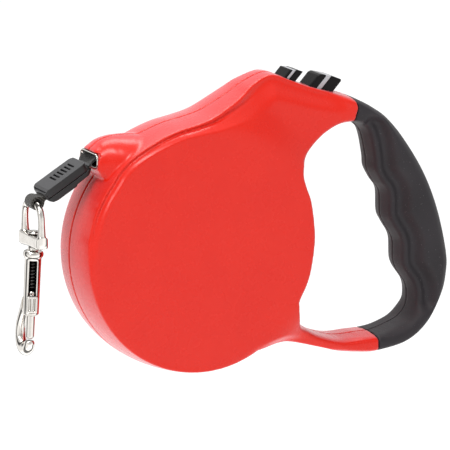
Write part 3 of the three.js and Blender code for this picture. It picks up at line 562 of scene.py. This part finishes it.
def body_height(x, z, outer, inner):
    """Half thickness of the red body: domed disc, neck, rim with its groove, and bridge."""
    r = np.hypot(x - REEL_X, z)
    face = 14.2 + (7.7 - 0.00028 * r * r) * (1 - step_up(r, 54, 79))
    high_side = step_up(z, -12, 18)
    rim = rim_height(x, high_side)
    band_top = follow(x, [-60, -20, 3, 14.5, 24, 37.5, 50, 90], [2.8, 2.8, 3.2, 5, 7.4, 12, 10, 8])
    band = 4.4 + (band_top - 4.4) * high_side
    start = 1.2 + 1.1 * high_side
    across = np.clip((outer - start) / band, 0, 1)
    soft = step_up(across, -0.25, 1)
    sharp = np.clip((across - 0.2) / 0.8, 0, 1) ** 0.9
    crisp = step_up(z, -6, 22) * step_up(-x, -34, -16)
    height = rim + (face - rim) * (soft + (sharp - soft) * crisp)
    groove = 0.9 * step_up(z, 2, 26) * step_up(-x, -38, -22)
    height = height - groove * np.exp(-((outer - start - 0.2 * band) / (0.4 + 0.07 * band)) ** 2)
    edge = HANDLE_HALF - rounded(inner, 3.2, HANDLE_HALF)
    return height - edge * step_up(r, 62, 72)


def slope_scaled(height, v, step):
    """How far outside a height field each place is, evened out where the field is steep."""
    gx, gz = np.gradient(height, step)
    steep = np.sqrt(1 + np.minimum(gx * gx + gz * gz, 36))
    return (v - height[:, None, :]) / steep[:, None, :]


def casing_field(low, high, step, rear):
    """The outside of the whole casing, grip included; v is Y measured away from the parting plane."""
    x, v, z = grid(low, high, step)
    fx, fz = x[:, 0, :], z[:, 0, :]
    outer = -flat_distance(fx, fz, CASING_OUTLINE)
    inner = flat_distance(fx, fz, FINGER_OPENING)
    grip_side = step_up(fx, 74, 94)
    inner = inner + follow(fz, [-60, -38, -26, 34, 42, 55], [0.3, 0.4, 1.6, 1.6, 2.3, 2.4]) * (1 - grip_side)
    inner = inner + (0.7 + 0.7 * step_up(fz, 18, 40)) * grip_side
    hand = step_up(fx, 66, 88)
    height = body_height(fx, fz, outer, inner) * (1 - hand) + handle_height(fx, fz, outer, inner) * hand
    crown = (REAR_CROWN if rear else FRONT_CROWN) * v * v
    if rear:
        crown = crown + 2.7 * step_up(v, 11, 23) * step_up(fz, -78, -42)[:, None, :]
    crown = crown * (1 - hand[:, None, :])
    side = smooth_high(crown - outer[:, None, :], 0.15 * crown - inner[:, None, :], 0.3)
    return x, v, z, smooth_high(side, slope_scaled(height, v, step), 0.8)


def hump(x, v, z, rear):
    """The rounded tube over the nozzle: it swells from the mouth and ends in a round nose on the strip."""
    half = follow(x, [-60, -47.7, -43.8, -40, -36, -32.5, -26, -20],
                  [11.9, 11.9, 12.9, 15, 17.2, 18.6, 19.4, 19.4])
    crown = follow(x, [-60, -47.7, -46.6, -45.4, -43.2, -39.9, -36.3, -32.7, -26, -20],
                   [44, 49.6, 50.5, 51.3, 52.9, 54.3, 55, 55.1, 55, 54.2])
    tall = 11.5 + 3 * step_up(x, -46, -32)
    power = follow(x, [-48, -44, -38], [2.8 if rear else 3.4, 2.4, 2])
    ring = ((np.abs(v) / half) ** power + (np.maximum(z - crown + tall, 0) / tall) ** power) ** (1 / power)
    solid = smooth_high((ring - 1) * tall, prism(x, z, HUMP_FOOT), 1.2)
    solid = smooth_high(solid, (x + 20.5 + 0.035 * v * v) * 0.75, 1.2)
    lower = step_up(-z, -42.5, -37)
    return smooth_high(solid, -47.7 - x + 0.5 * np.maximum(41 - z, 0), 0.6 + 3.4 * lower)


def parted(v, outside, rear):
    """What the seam takes off one half. The far half keeps an inner lip, so one cannot see through."""
    gap = HALF_GAP - v
    if rear:
        gap = np.minimum(gap, np.maximum(LIP_GAP - HALF_GAP - v, outside + LIP_DEPTH))
    return gap


def shell_rooms(x, v, z, outside):
    """What a half leaves free: reel room, neck, tape channel, button wells and the nozzle's mouth."""
    r = np.hypot(x - REEL_X, z)
    post = np.maximum(r - POST_RADIUS, POST_START - v)
    room = np.maximum(np.maximum(r - REEL_ROOM_RADIUS, v - REEL_ROOM_HALF), -post)
    neck = np.maximum(prism(x, z, NECK_ROOM), v - NECK_HALF)
    channel = np.maximum(prism(x, z, TAPE_CHANNEL), v - CHANNEL_HALF)
    seats = np.minimum(prism(x, z, press_outline(BRAKE_SEAT)), prism(x, z, press_outline(LOCK_SEAT)))
    rooms = np.minimum(np.minimum(room, channel), np.maximum(neck, -seats))
    bosses = np.min([np.hypot(x - sx, z - sz) for sx, sz in CASING_SCREWS], axis=0) - BOSS_RADIUS
    rooms = np.maximum(np.maximum(rooms, -bosses), outside + WALL)
    wells = np.minimum(prism(x, z, press_outline(LOCK_WELL)), prism(x, z, press_outline(BRAKE_WELL)))
    rooms = np.minimum(rooms, np.maximum(wells, v - WELL_HALF))
    mouth = np.maximum(rounded_box(v, z - MOUTH_Z, 10.25, 3.65, 3.3), x + 38.4)
    return np.minimum(rooms, mouth)


def screw_holes(x, v, z, rear):
    """The screws' bores, and in the far half the pockets for their heads."""
    away = [np.hypot(x - sx, z - sz) for sx, sz in CASING_SCREWS + [GRIP_SCREW]]
    holes = np.maximum(np.min(away, axis=0) - SCREW_BORE, v - (14 if rear else 10.3))
    if rear:
        pockets = np.maximum(np.min(away[:-1], axis=0) - SCREW_POCKET, 12.2 - v)
        holes = np.minimum(holes, pockets)
    return holes


def shell(rear):
    """One half of the red casing, with its rooms inside."""
    low, high, step = (-60, -0.6, -62), (100.5, 23.5, 82), 0.6
    x, v, z, solid = casing_field(low, high, step, rear)
    outside = smooth_low(solid, hump(x, v, z, rear), 1.0)
    solid = np.maximum(outside, -prism(x, z, SEAM))
    core = np.maximum(np.maximum(prism(x, z, CORE), v - CORE_HALF), outside + 1.7)
    solid = np.minimum(solid, core)
    solid = smooth_high(solid, -shell_rooms(x, v, z, outside), 0.35)
    solid = np.maximum(solid, -screw_holes(x, v, z, rear))
    solid = np.maximum(solid, parted(v, outside, rear))
    return skinned(solid, low, step, 1)


def grip(rear):
    """One half of the rubber grip, round the casing's core."""
    low, high, step = (78, -0.6, -60), (136.5, 15, 68), 0.55
    x, v, z, outside = casing_field(low, high, step, rear)
    solid = smooth_high(outside, prism(x, z, SEAM) + 0.3, 0.5)
    core = np.maximum(prism(x, z, CORE) - CORE_CLEARANCE, v - CORE_HALF - CORE_CLEARANCE)
    solid = np.maximum(solid, -np.maximum(core, outside + 1.4))
    if rear:
        solid = np.maximum(solid, SCREW_POCKET - np.hypot(x - GRIP_SCREW[0], z - GRIP_SCREW[1]))
    solid = np.maximum(solid, parted(v, outside, rear))
    return skinned(solid, low, step)


def add_casing():
    """Both halves of the shell and of the grip; the near ones are mirrored into place."""
    for name, half, look, slot in (("shell", shell, RED, "red_shell"), ("grip", grip, RUBBER, "grip_rubber")):
        piece(f"{name}_front", *mirrored(*half(rear=False)), look, "casing", slot, [f"front_{name}"])
        piece(f"{name}_rear", *half(rear=True), look, "casing", slot, [f"rear_{name}"])


# ---- nozzle and buttons ----

def add_bezel():
    """The bright ring round the mouth, with a bore that flares outwards."""
    low, high, step = (-49, -12, 36.5), (-38, 12, 50.5), 0.3
    x, y, z = grid(low, high, step)
    outer = edged(rounded_box(y, z - MOUTH_Z, 9.95, 3.35, 3.0), span(x, -47.9, -38.8), 0.3)
    flare = 0.5 * step_up(-x, 45.5, 48.4)
    bore = rounded_box(y, z - MOUTH_Z, 9 + flare, 2.3 + flare, 2.1)
    ring = skinned(np.maximum(outer, -bore), low, step)
    piece("bezel", *ring, CHROME, "casing", "chrome", ["nozzle_bezel"])


BUTTON_HALF = 6
STRIPE_HALF = 6.05
STRIPE_MARGIN = 0.08  # how much narrower than its groove the stripe is, on each side
LOCK_HEAD = [(85, -15.9), (93.7, -15.9), (95.7, -13.2), (97.1, -10.0), (85, -10.0)]
LOCK_STRIPE = [(89.5, -14.9), (94.4, -14.9), (95.4, -13.5), (89.5, -13.5)]
BRAKE_HEAD = [(88, -2.6), (100.6, -2.6), (101.9, -1.9), (102.9, -0.2), (105, 3.6), (106.7, 8.3), (105.9, 8.9),
              (88, 8.9)]
BRAKE_STRIPE = [(92.5, 0.8), (103.45, 0.8), (104.75, 3.1), (92.5, 3.1)]
# each stem by its reach along the press line, across it and in Y
LOCK_STEMS = [((76.8, 86), (-12.3, -10.4), (-4, 4))]
BRAKE_STEMS = [((78, 89), (-2.3, 3), (-5, 4)), ((57, 79), (-3, 3), (-10.2, 4)),
               ((51.4, 58), (-1.2, 1.2), (-10.2, -8.2))]


def press_box(x, z, out, across):
    """The distance outside a rectangle given along and across the press line."""
    along = (x - REEL_X) * PRESS_OUT[0] + z * PRESS_OUT[1]
    beside = (x - REEL_X) * PRESS_ACROSS[0] + z * PRESS_ACROSS[1]
    return np.maximum(span(along, *out), span(beside, *across))


def button(low, high, head, stripe, stems):
    """A button's head with a groove for its stripe, and the stems below it."""
    step = 0.3
    x, y, z = grid(low, high, step)
    solid = edged(prism(x, z, press_outline(head)), np.abs(y) - BUTTON_HALF, 0.7)
    groove = [(out - 0.1 if out < 93 else out + 1, across) for out, across in stripe]
    solid = smooth_high(solid, -prism(x, z, press_outline(groove)), 0.15)
    for out, across, reach in stems:
        solid = np.minimum(solid, edged(press_box(x, z, out, across), span(y, *reach), 0.2))
    return skinned(solid, low, step, 1)


def stripe_bar(stripe):
    """The stripe inlaid in a button, drawn in from both sides of its groove."""
    middle = sum(across for _, across in stripe) / len(stripe)
    flat = np.array(press_outline([(out, across + (STRIPE_MARGIN if across < middle else -STRIPE_MARGIN))
                                   for out, across in stripe]))
    low = (flat[:, 0].min() - 1, -STRIPE_HALF - 1, flat[:, 1].min() - 1)
    high = (flat[:, 0].max() + 1, STRIPE_HALF + 1, flat[:, 1].max() + 1)
    step = 0.2
    x, y, z = grid(low, high, step)
    return skinned(edged(prism(x, z, flat), np.abs(y) - STRIPE_HALF, 0.3), low, step, 1)


def add_buttons():
    for name, low, high, head, stripe, stems in (
            ("lock", (38, -7, 60), (64, 7, 84), LOCK_HEAD, LOCK_STRIPE, LOCK_STEMS),
            ("brake", (32, -11, 34), (84, 7, 80), BRAKE_HEAD, BRAKE_STRIPE, BRAKE_STEMS)):
        key = button(low, high, head, stripe, stems)
        piece(f"{name}_key", *key, BLACK, name, "black_plastic", [f"{name}_button"])
        piece(f"{name}_inlay", *stripe_bar(stripe), STRIPE, name, "grey_stripe", [f"{name}_button_stripe"])


# ---- tubes and coils ----

TUBE_SIDES = 10


def ring_faces(rings, sides):
    """The faces between rings of points that follow one another."""
    faces = []
    for i in range(rings - 1):
        for j in range(sides):
            k = (j + 1) % sides
            faces.append((i * sides + j, i * sides + k, (i + 1) * sides + k, (i + 1) * sides + j))
    return faces


def tube(path, radius):
    """A round wire along a path, closed at both ends."""
    path = np.array(path, float)
    ahead = np.gradient(path, axis=0)
    ahead /= np.linalg.norm(ahead, axis=1)[:, None]
    side = np.cross(ahead[0], [0.31, 0.87, 0.4])
    rings = []
    for place, direction in zip(path, ahead):
        side = side - direction * np.dot(side, direction)
        side /= np.linalg.norm(side)
        up = np.cross(direction, side)
        rings.append([place + radius * (math.cos(a) * side + math.sin(a) * up)
                      for a in np.linspace(0, 2 * math.pi, TUBE_SIDES, endpoint=False)])
    points = np.vstack([np.array(rings).reshape(-1, 3), path[:1] - ahead[:1] * radius * 0.4,
                        path[-1:] + ahead[-1:] * radius * 0.4])
    faces = ring_faces(len(path), TUBE_SIDES)
    last, start_cap, end_cap = (len(path) - 1) * TUBE_SIDES, len(points) - 2, len(points) - 1
    for j in range(TUBE_SIDES):
        k = (j + 1) % TUBE_SIDES
        faces.append((start_cap, k, j))
        faces.append((end_cap, last + j, last + k))
    return points, faces


def press_place(out, across, y):
    """A place given along and across the press line."""
    x, z = np.array([REEL_X, 0]) + out * PRESS_OUT + across * PRESS_ACROSS
    return [x, y, z]


def press_coil(across, start, end, radius, wire, turns):
    """A coil spring whose axis runs along the press line."""
    t = np.linspace(0, 1, turns * 20 + 1)
    angle = t * turns * 2 * math.pi
    return tube([press_place(start + (end - start) * s, across + radius * math.cos(a), radius * math.sin(a))
                 for s, a in zip(t, angle)], wire)


def add_button_springs():
    for name, node, joint, across, start, end, radius, keep in (
            ("brake_coil", "brake_spring", "brake_press", 5.95, 78.7, 87.5, 2.0, 0.58),
            ("lock_coil", "lock_spring", "lock_press", -14.4, 76.6, 84.5, 1.15, 0.62)):
        coil = piece(name, *press_coil(across, start, end, radius, 0.38, 6), STEEL, "casing", "steel", [node])
        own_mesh(coil)


# ---- tape, clamp and strap, in a frame whose X points back into the nozzle and Z up off the tape ----

PULL_SLOPE = math.radians(31)
TAPE_START = (-48.5, 0, 43)
TAPE_FRAME = DRAWING @ Matrix.Translation(TAPE_START) @ Matrix.Rotation(-PULL_SLOPE, 4, "Y")
TAPE_LIFT = 0.9
SLICE_POINTS = 23


def tape_section(raise_edge, half_width, half_thick):
    """One closed slice across the tape, with its edges curled up and rounded."""
    across = np.linspace(-1, 1, SLICE_POINTS)
    middle = np.stack([across * half_width, raise_edge * across ** 2], 1)
    slope = np.stack([np.ones(SLICE_POINTS), 2 * raise_edge * across / half_width], 1)
    slope /= np.linalg.norm(slope, axis=1)[:, None]
    normal = np.stack([-slope[:, 1], slope[:, 0]], 1)
    thick = half_thick * np.sqrt(np.clip(1 - np.abs(across) ** 12, 0.05, 1))[:, None]
    ridge = 0.07 * np.cos(across * 34)[:, None]
    return np.vstack([middle + normal * (thick + ridge), (middle - normal * (thick + ridge))[::-1]])


def add_tape():
    """The tape from inside the nozzle into the clamp; it bends up at its edges where it leaves."""
    stations = np.concatenate([np.linspace(9.4, -0.6, 34), np.linspace(-0.9, -16, 24)])
    points, sides = [], 2 * SLICE_POINTS
    for x in stations:
        curl = 2.0 * step_up(x, -2.5, 2.0) * (1 - 0.55 * step_up(x, 3.0, 9.0))
        lift = TAPE_LIFT * step_up(x, -4, 1.5) - 0.11 * max(x - 3.5, 0) ** 1.75
        half = 6.3 + 0.9 * step_up(x, -3.5, 0.5)
        section = tape_section(curl, half, 0.52)
        points += [(x, y, z + lift - 0.35 * curl) for y, z in section]
    faces = [face[::-1] for face in ring_faces(len(stations), sides)]
    last = (len(stations) - 1) * sides
    for j in range(SLICE_POINTS - 1):
        faces.append((j, j + 1, sides - 2 - j, sides - 1 - j))
        faces.append((last + j + 1, last + j, last + sides - 1 - j, last + sides - 2 - j))
    tape = piece("tape", points, faces, WEBBING, None, "webbing", ["tape_tail"], TAPE_FRAME)
    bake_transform(tape)


CLAMP_END = -26.9
CLAMP_HALF = 8.2
CLAMP_SCREW_X, CLAMP_SCREW_Y = -16.9, 4
LID_OUTLINE = [(-2.4, 0.15), (-2.4, 3.5), (-3.0, 3.85), (-24.6, 3.9), (-26.0, 3.3), (CLAMP_END, 2.0),
               (CLAMP_END, 0.15)]
BASE_OUTLINE = [(-0.6, 1.2), (-0.6, -0.6), (-1.6, -1.4), (-4.2, -2.3), (-11.2, -2.6), (-12.0, -3.2),
                (-23.0, -3.2), (-25.4, -2.6), (CLAMP_END, -1.2), (CLAMP_END, -0.15), (-2.1, -0.15),
                (-2.1, 1.2)]
SLOT_COUNT, SLOT_PITCH = 6, 2.1


def clamp_plan(x, y, start, rear_round, front_round):
    """The clamp seen from above: a rectangle with rounded corners at both ends."""
    length = start - CLAMP_END
    middle = (start + CLAMP_END) / 2
    radius = front_round + (rear_round - front_round) * step_up(x, CLAMP_END + 6, start - 6)
    return edged(np.abs(x - middle) - length / 2, np.abs(y) - CLAMP_HALF, radius)


def clamp_rooms(x, y, z):
    """What both halves leave free for the tape, the strap and the two screws."""
    tape_room = np.maximum(span(x, -19.8, 3), np.maximum(np.abs(y) - 6.9, np.abs(z) - 0.8))
    strap_room = np.maximum(span(x, -30, -22.8), np.maximum(np.abs(y) - 5.1, np.abs(z) - 1.5))
    pins = np.hypot(x - CLAMP_SCREW_X, np.abs(y) - CLAMP_SCREW_Y)
    holes = np.minimum(np.maximum(pins - 1.4, z - 1.8), np.maximum(pins - 2.2, z + 1.9))
    return np.minimum(np.minimum(tape_room, strap_room), holes)


def clamp_lid(x, y, z):
    """The upper half, with a line round its edge and a row of slots across its top."""
    plan = clamp_plan(x, y, -2.4, 3.2, 2.4)
    edge_line = np.maximum(np.abs(z - 2.8) - 0.3, 0.65 - np.abs(plan))
    slots = [edged(span(x, -7.85 - SLOT_PITCH * i, -6.95 - SLOT_PITCH * i), np.abs(y) - 3.6, 0.25)
             for i in range(SLOT_COUNT)]
    slots = np.maximum(np.min(slots, axis=0), 3.1 - z)
    return smooth_high(edged(prism(x, z, LID_OUTLINE), plan, 0.32), -np.minimum(slots, edge_line), 0.2)


def add_clamp():
    low, high, step = (-28, -9, -4.4), (0.6, 9, 4.8), 0.25
    x, y, z = grid(low, high, step)
    rooms = clamp_rooms(x, y, z)
    base = edged(prism(x, z, BASE_OUTLINE), clamp_plan(x, y, -0.3, 5.2, 2.2), 0.4)
    for name, node, solid in (("clamp_lid", "clamp_upper", np.maximum(clamp_lid(x, y, z), -rooms)),
                              ("clamp_base", "clamp_lower", smooth_high(base, -rooms, 0.2))):
        half = skinned(solid, low, step, 1)
        piece(name, *half, CLAMP_BLACK, "lead", "black_plastic", [node], TAPE_FRAME)


STRAP_HALF = 4.3
LOOP_X = -31.2


def add_strap():
    """The sewn strap: a loop round the eye and two tails pressed together in the clamp."""
    low, high, step = (-36.5, -5.6, -4.4), (-22, 5.6, 4.4), 0.25
    x, y, z = grid(low, high, step)
    from_loop = np.hypot(x - LOOP_X, z)
    loop = np.abs(from_loop - 2.75) - 0.6
    tails = np.maximum(np.abs(np.abs(z) - (0.62 + 0.9 * step_up(-x, 27, 30.4))) - 0.55, span(x, -31, -23.4))
    tails = np.maximum(tails, 2.2 - from_loop)
    ridge = 0.06 * np.cos(y * 4.2)
    solid = edged(smooth_low(loop, tails, 0.8) - ridge, np.abs(y) - STRAP_HALF, 0.5)
    piece("strap", *skinned(solid, low, step, 1), STRAP, "lead", "webbing", ["strap_loop"], TAPE_FRAME)


# ---- swivel eye and bolt snap ----

EYE_X = -75.9
EYE_TOP = 26.6
EYE_HALF = 9.8
SNAP_LEAN = math.radians(3)
SNAP_FRAME = DRAWING @ Matrix.Translation((EYE_X, 0, 4.4)) @ Matrix.Rotation(SNAP_LEAN, 4, "Y")
SNAP_AXIS = (math.sin(SNAP_LEAN), 0, math.cos(SNAP_LEAN))
KNOB_YAW = math.radians(-20)
BARREL_LENGTH = 31.3
BOTTOM = -BARREL_LENGTH


def capsule(x, y, z, start, end, radius, end_radius):
    """The distance from a rod that can taper between two places."""
    ax, ay, az = np.array(end, float) - np.array(start, float)
    px, py, pz = x - start[0], y - start[1], z - start[2]
    t = np.clip((px * ax + py * ay + pz * az) / (ax * ax + ay * ay + az * az), 0, 1)
    away = np.sqrt((px - t * ax) ** 2 + (py - t * ay) ** 2 + (pz - t * az) ** 2)
    return away - (radius + (end_radius - radius) * t)


def wire_field(x, y, z, path, radii):
    """The distance from a bent rod whose radius changes along it."""
    field = np.full(x.shape, 1e9)
    for start, end, radius, end_radius in zip(path, path[1:], radii, radii[1:]):
        field = np.minimum(field, capsule(x, y, z, start, end, radius, end_radius))
    return field


def add_eye():
    """The swivel eye: an arch of wire on a base with a bore for the snap's rivet."""
    low, high, step = (EYE_X - 4, -12.4, 5.2), (EYE_X + 4, 12.4, 29.4), 0.25
    x, y, z = grid(low, high, step)
    side = [(EYE_HALF, 9), (EYE_HALF, 13), (EYE_HALF, 17), (EYE_HALF - 0.3, 21), (EYE_HALF - 1.8, 24.4),
            (4.4, EYE_TOP - 0.2), (2.2, EYE_TOP)]
    arch = spline([(-py, pz) for py, pz in side] + [(0, EYE_TOP)] + side[::-1], 4)
    path = [(EYE_X, py, pz) for py, pz in arch]
    radii = [1.6 + 0.3 * step_up(19 - pz, 0, 8) for _, pz in arch]
    taper = np.maximum(np.abs(y) - 9, 0) * 0.3 - np.maximum(y, 0) * 0.09
    base = edged(np.maximum(span(z, 6.0 + taper, 11.7), np.abs(y) - 11.4), np.abs(x - EYE_X) - 2.9, 1.3)
    solid = smooth_low(wire_field(x, y, z, path, radii), base, 1.2)
    solid = smooth_high(solid, 2.3 - np.hypot(x - EYE_X, y), 0.3)
    piece("eye", *skinned(solid, low, step), CHROME, "eye", "chrome", ["swivel_eye"])


def knob_frame(x, y):
    """Places turned so that the knob and its slot face -Y."""
    cos, sin = math.cos(-KNOB_YAW), math.sin(-KNOB_YAW)
    return x * cos - y * sin, x * sin + y * cos


TURNED_CELL, TURNED_CELLS = 0.125, 128


def turned(x, y, z, profile):
    """A turned solid about Z from its half outline of (radius, z)."""
    outline = list(profile) + [(-radius, height) for radius, height in reversed(profile)]
    rows = np.arange(TURNED_CELLS + 1) * TURNED_CELL
    heights = z[0, 0, :]
    table = flat_distance(*np.meshgrid(rows, heights, indexing="ij"), outline)
    spot = np.clip(np.hypot(x, y) / TURNED_CELL, 0, TURNED_CELLS - 0.001)
    i = spot.astype(int)
    share = spot - i
    k = np.broadcast_to(np.arange(len(heights)), x.shape)
    return table[i, k] * (1 - share) + table[i + 1, k] * share


BARREL_PROFILE = [(3.1, BOTTOM), (3.8, BOTTOM + 0.7), (3.9, -4.2), (4.3, -3.5), (4.75, -2.9), (4.85, -1.9),
                  (4.5, -0.8), (3.4, -0.2), (2.6, 0), (2.6, 1.2), (1.8, 1.6), (1.8, 7.5), (3.1, 7.6),
                  (3.1, 8.0), (2.2, 8.9), (0.8, 9.2)]
# the middle of the hook's arm by its reach in Y and its height above the barrel's lower end
HOOK_ARM = [(3.4, 9), (6.4, 4), (9.4, -1.6), (11.3, -6.8), (11.1, -11.8), (9.2, -15.4), (6.3, -17.2),
            (3.2, -17), (1.0, -15.4), (0.2, -13.6)]


def hook(x, y, z):
    """The bent arm of the snap, cut flat where the bolt closes on its tip."""
    arm = spline(HOOK_ARM, 4)
    radii = follow(np.linspace(0, 1, len(arm)), [0, 0.15, 0.4, 0.6, 0.8, 1], [2.6, 2.3, 2.4, 2.8, 2.9, 2.5])
    rod = wire_field(x, y, z, [(0, py, BOTTOM + pz) for py, pz in arm], radii)
    return smooth_high(rod, z - (BOTTOM - 11.9) - 99 * (y > 6), 0.3)


def add_snap_body():
    """The barrel with its collar, rivet and hook; a slot in it shows the bolt and its spring."""
    low, high, step = (-6, -6, -54), (6, 15.5, 10), 0.27
    x, y, z = grid(low, high, step)
    solid = smooth_low(turned(x, y, z, BARREL_PROFILE), hook(x, y, z), 2.0)
    bore = np.maximum(np.hypot(x, y) - 2.5, span(z, BOTTOM - 3, -4))
    tx, ty = knob_frame(x, y)
    slot = np.maximum(np.maximum(np.abs(tx) - 1.75, ty), span(z, BOTTOM + 1.8, -5))
    solid = smooth_high(solid, -np.minimum(bore, slot), 0.3)
    # painted shade: the barrel is coloured near black inside its bore, where the inside of the tube lies in shade
    dark = (tuple(SNAP_FRAME.translation), SNAP_AXIS, 2.75 * MM, (BOTTOM * MM, -3.8 * MM))
    plated = metal("barrel_chrome", *CHROME_TONES, CHROME_ROUGHNESS, CHROME_REFLECTION_BANDS, dark)
    piece("snap_barrel", *skinned(solid, low, step), plated, "snap", "chrome", ["snap_body"], SNAP_FRAME)


def add_snap_bolt():
    """The bolt in the barrel, with a ribbed thumb knob standing out of the slot."""
    low, high, step = (-6, -9.4, -44), (6, 4, -17), 0.25
    x, y, z = grid(low, high, step)
    tip, top, middle = BOTTOM - 11, BOTTOM + 11.6, BOTTOM + 6.4
    rod = turned(x, y, z, [(1.5, tip), (2.1, tip + 0.7), (2.1, top - 0.5), (1.7, top)])
    tx, ty = knob_frame(x, y)
    neck = edged(np.maximum(np.abs(tx) - 1.35, span(ty, -4.9, 0)), np.abs(z - middle) - 3.2, 0.3)
    cap = edged(np.maximum(np.abs(tx) - 2.5, span(ty, -7.4, -4.5)), np.abs(z - middle) - 4.0, 0.6)
    ribs = np.min([np.abs(tx - place) - 0.45 for place in (-1.1, 0.9)], axis=0)
    ribs = np.maximum(np.maximum(ribs, ty + 5.9), np.abs(z - middle) - 3.0)
    solid = smooth_low(smooth_low(rod, neck, 0.3), smooth_high(cap, -ribs, 0.25), 0.4)
    piece("bolt", *skinned(solid, low, step), CHROME, "bolt", "chrome", ["snap_bolt"], SNAP_FRAME)


def add_bolt_spring():
    low, high, turns, radius = BOTTOM + 12.5, -4.5, 9, 1.75
    t = np.linspace(0, 1, turns * 18 + 1)
    angle = t * turns * 2 * math.pi
    path = np.stack([radius * np.cos(angle), radius * np.sin(angle), low + (high - low) * t], 1)
    # painted shade: the coil takes the darkened steel that stands in for the shade in the slot
    coil = piece("bolt_coil", *tube(path, 0.28), SHADED_STEEL, "snap", "steel", ["bolt_spring"], SNAP_FRAME)
    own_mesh(coil)


# ---- camera, light and floor ----

CAMERA_AZIMUTH = math.radians(-25)
CAMERA_ELEVATION = math.radians(12.5)
CAMERA_DISTANCE = 2.5
VIEW_TARGET = at(22.2, 0, 6.8)
VIEW_WIDTH = 212.3 * MM
SENSOR_WIDTH = 36

LIGHT_AIM = at(30, 0, 10)
# each lamp's place from the aim in metres, its size and its power in watts
LAMPS = {"key": ((-0.35, -0.25, 1.1), (0.4, 0.3), 4.6),
         "side": ((-0.85, -0.41, 0.56), (0.3, 0.3), 1.9),
         "top": ((0.1, 0.55, 0.95), (0.7, 0.35), 4)}
# the floor in metres: how far it lies below the part, reaches past the snap, and reaches elsewhere
FLOOR_DROP, FLOOR_LEFT, FLOOR_REACH = 0.35, 0.6, 6


def add_camera():
    data = bpy.data.cameras.new("camera")
    data.sensor_width = SENSOR_WIDTH
    data.lens = SENSOR_WIDTH * CAMERA_DISTANCE / VIEW_WIDTH
    data.clip_end = 20
    camera = bpy.data.objects.new("camera", data)
    flat = math.cos(CAMERA_ELEVATION)
    towards = Vector((flat * math.sin(CAMERA_AZIMUTH), -flat * math.cos(CAMERA_AZIMUTH),
                      math.sin(CAMERA_ELEVATION)))
    camera.location = VIEW_TARGET + towards * CAMERA_DISTANCE
    camera.rotation_euler = (-towards).to_track_quat("-Z", "Y").to_euler()
    bpy.context.scene.collection.objects.link(camera)
    bpy.context.scene.camera = camera


def add_lamp(name, offset, size, power):
    data = bpy.data.lights.new(name, "AREA")
    data.shape = "RECTANGLE"
    data.size, data.size_y = size
    data.energy = power
    lamp = bpy.data.objects.new(name, data)
    lamp.location = LIGHT_AIM + Vector(offset)
    lamp.rotation_euler = (-Vector(offset)).to_track_quat("-Z", "Y").to_euler()
    bpy.context.scene.collection.objects.link(lamp)


def add_floor():
    """A pale floor. It ends on the nozzle's side before the pulled-out tape comes down to its height."""
    left, far, z = CAD_BOX[0].x - FLOOR_LEFT, FLOOR_REACH, CAD_BOX[0].z - FLOOR_DROP
    mesh = bpy.data.meshes.new("floor")
    mesh.from_pydata([(left, -far, z), (far, -far, z), (far, far, z), (left, far, z)], [], [(0, 1, 2, 3)])
    floor = bpy.data.objects.new("floor", mesh)
    bpy.context.scene.collection.objects.link(floor)
    material = bpy.data.materials.new("floor")
    material.use_nodes = True
    shader = material.node_tree.nodes["Principled BSDF"]
    shader.inputs["Base Color"].default_value = (0.93, 0.93, 0.93, 1)
    shader.inputs["Roughness"].default_value = 0.9
    shader.inputs["Emission Color"].default_value = (1, 1, 1, 1)
    shader.inputs["Emission Strength"].default_value = 0.3
    floor.data.materials.append(material)


def add_world():
    """Soft light from all round: bright from below and above, greyer in between."""
    world = bpy.data.worlds.new("world")
    world.use_nodes = True
    tree = world.node_tree
    direction = tree.nodes.new("ShaderNodeTexCoord").outputs["Generated"]
    split = tree.nodes.new("ShaderNodeSeparateXYZ")
    tree.links.new(direction, split.inputs["Vector"])
    ramp = tree.nodes.new("ShaderNodeValToRGB")
    tree.links.new(split.outputs["Z"], ramp.inputs["Fac"])
    stops = [(0.16, 1.0), (0.3, 0.6), (0.6, 0.6), (0.8, 0.95)]
    while len(ramp.color_ramp.elements) < len(stops):
        ramp.color_ramp.elements.new(0.5)
    for element, (position, level) in zip(ramp.color_ramp.elements, stops):
        element.position = position
        element.color = (level, level, level, 1)
    tree.links.new(ramp.outputs["Color"], tree.nodes["Background"].inputs["Color"])
    tree.nodes["Background"].inputs["Strength"].default_value = 1.0
    bpy.context.scene.world = world
    bpy.context.scene.view_settings.view_transform = "Standard"


add_casing()
add_bezel()
add_buttons()
add_button_springs()
add_tape()
add_clamp()
add_strap()
add_eye()
add_snap_body()
add_snap_bolt()
add_bolt_spring()
add_camera()
add_world()
add_floor()
for name, (offset, size, power) in LAMPS.items():
    add_lamp(name, offset, size, power)

# the CAD nodes that are shown as they are get the same looks
NODE_LOOKS = {"red_shell": RED, "grip_rubber": RUBBER, "black_plastic": BLACK, "grey_stripe": STRIPE,
              "chrome": CHROME, "steel": STEEL, "reel_plastic": NYLON, "webbing": WEBBING}
for part in frame["record"]["subparts"]:
    look = NODE_LOOKS.get(part["material_slot"])
    if look:
        node = frame["nodes"][part["node"]]
        node.data.materials.clear()
        node.data.materials.append(look)
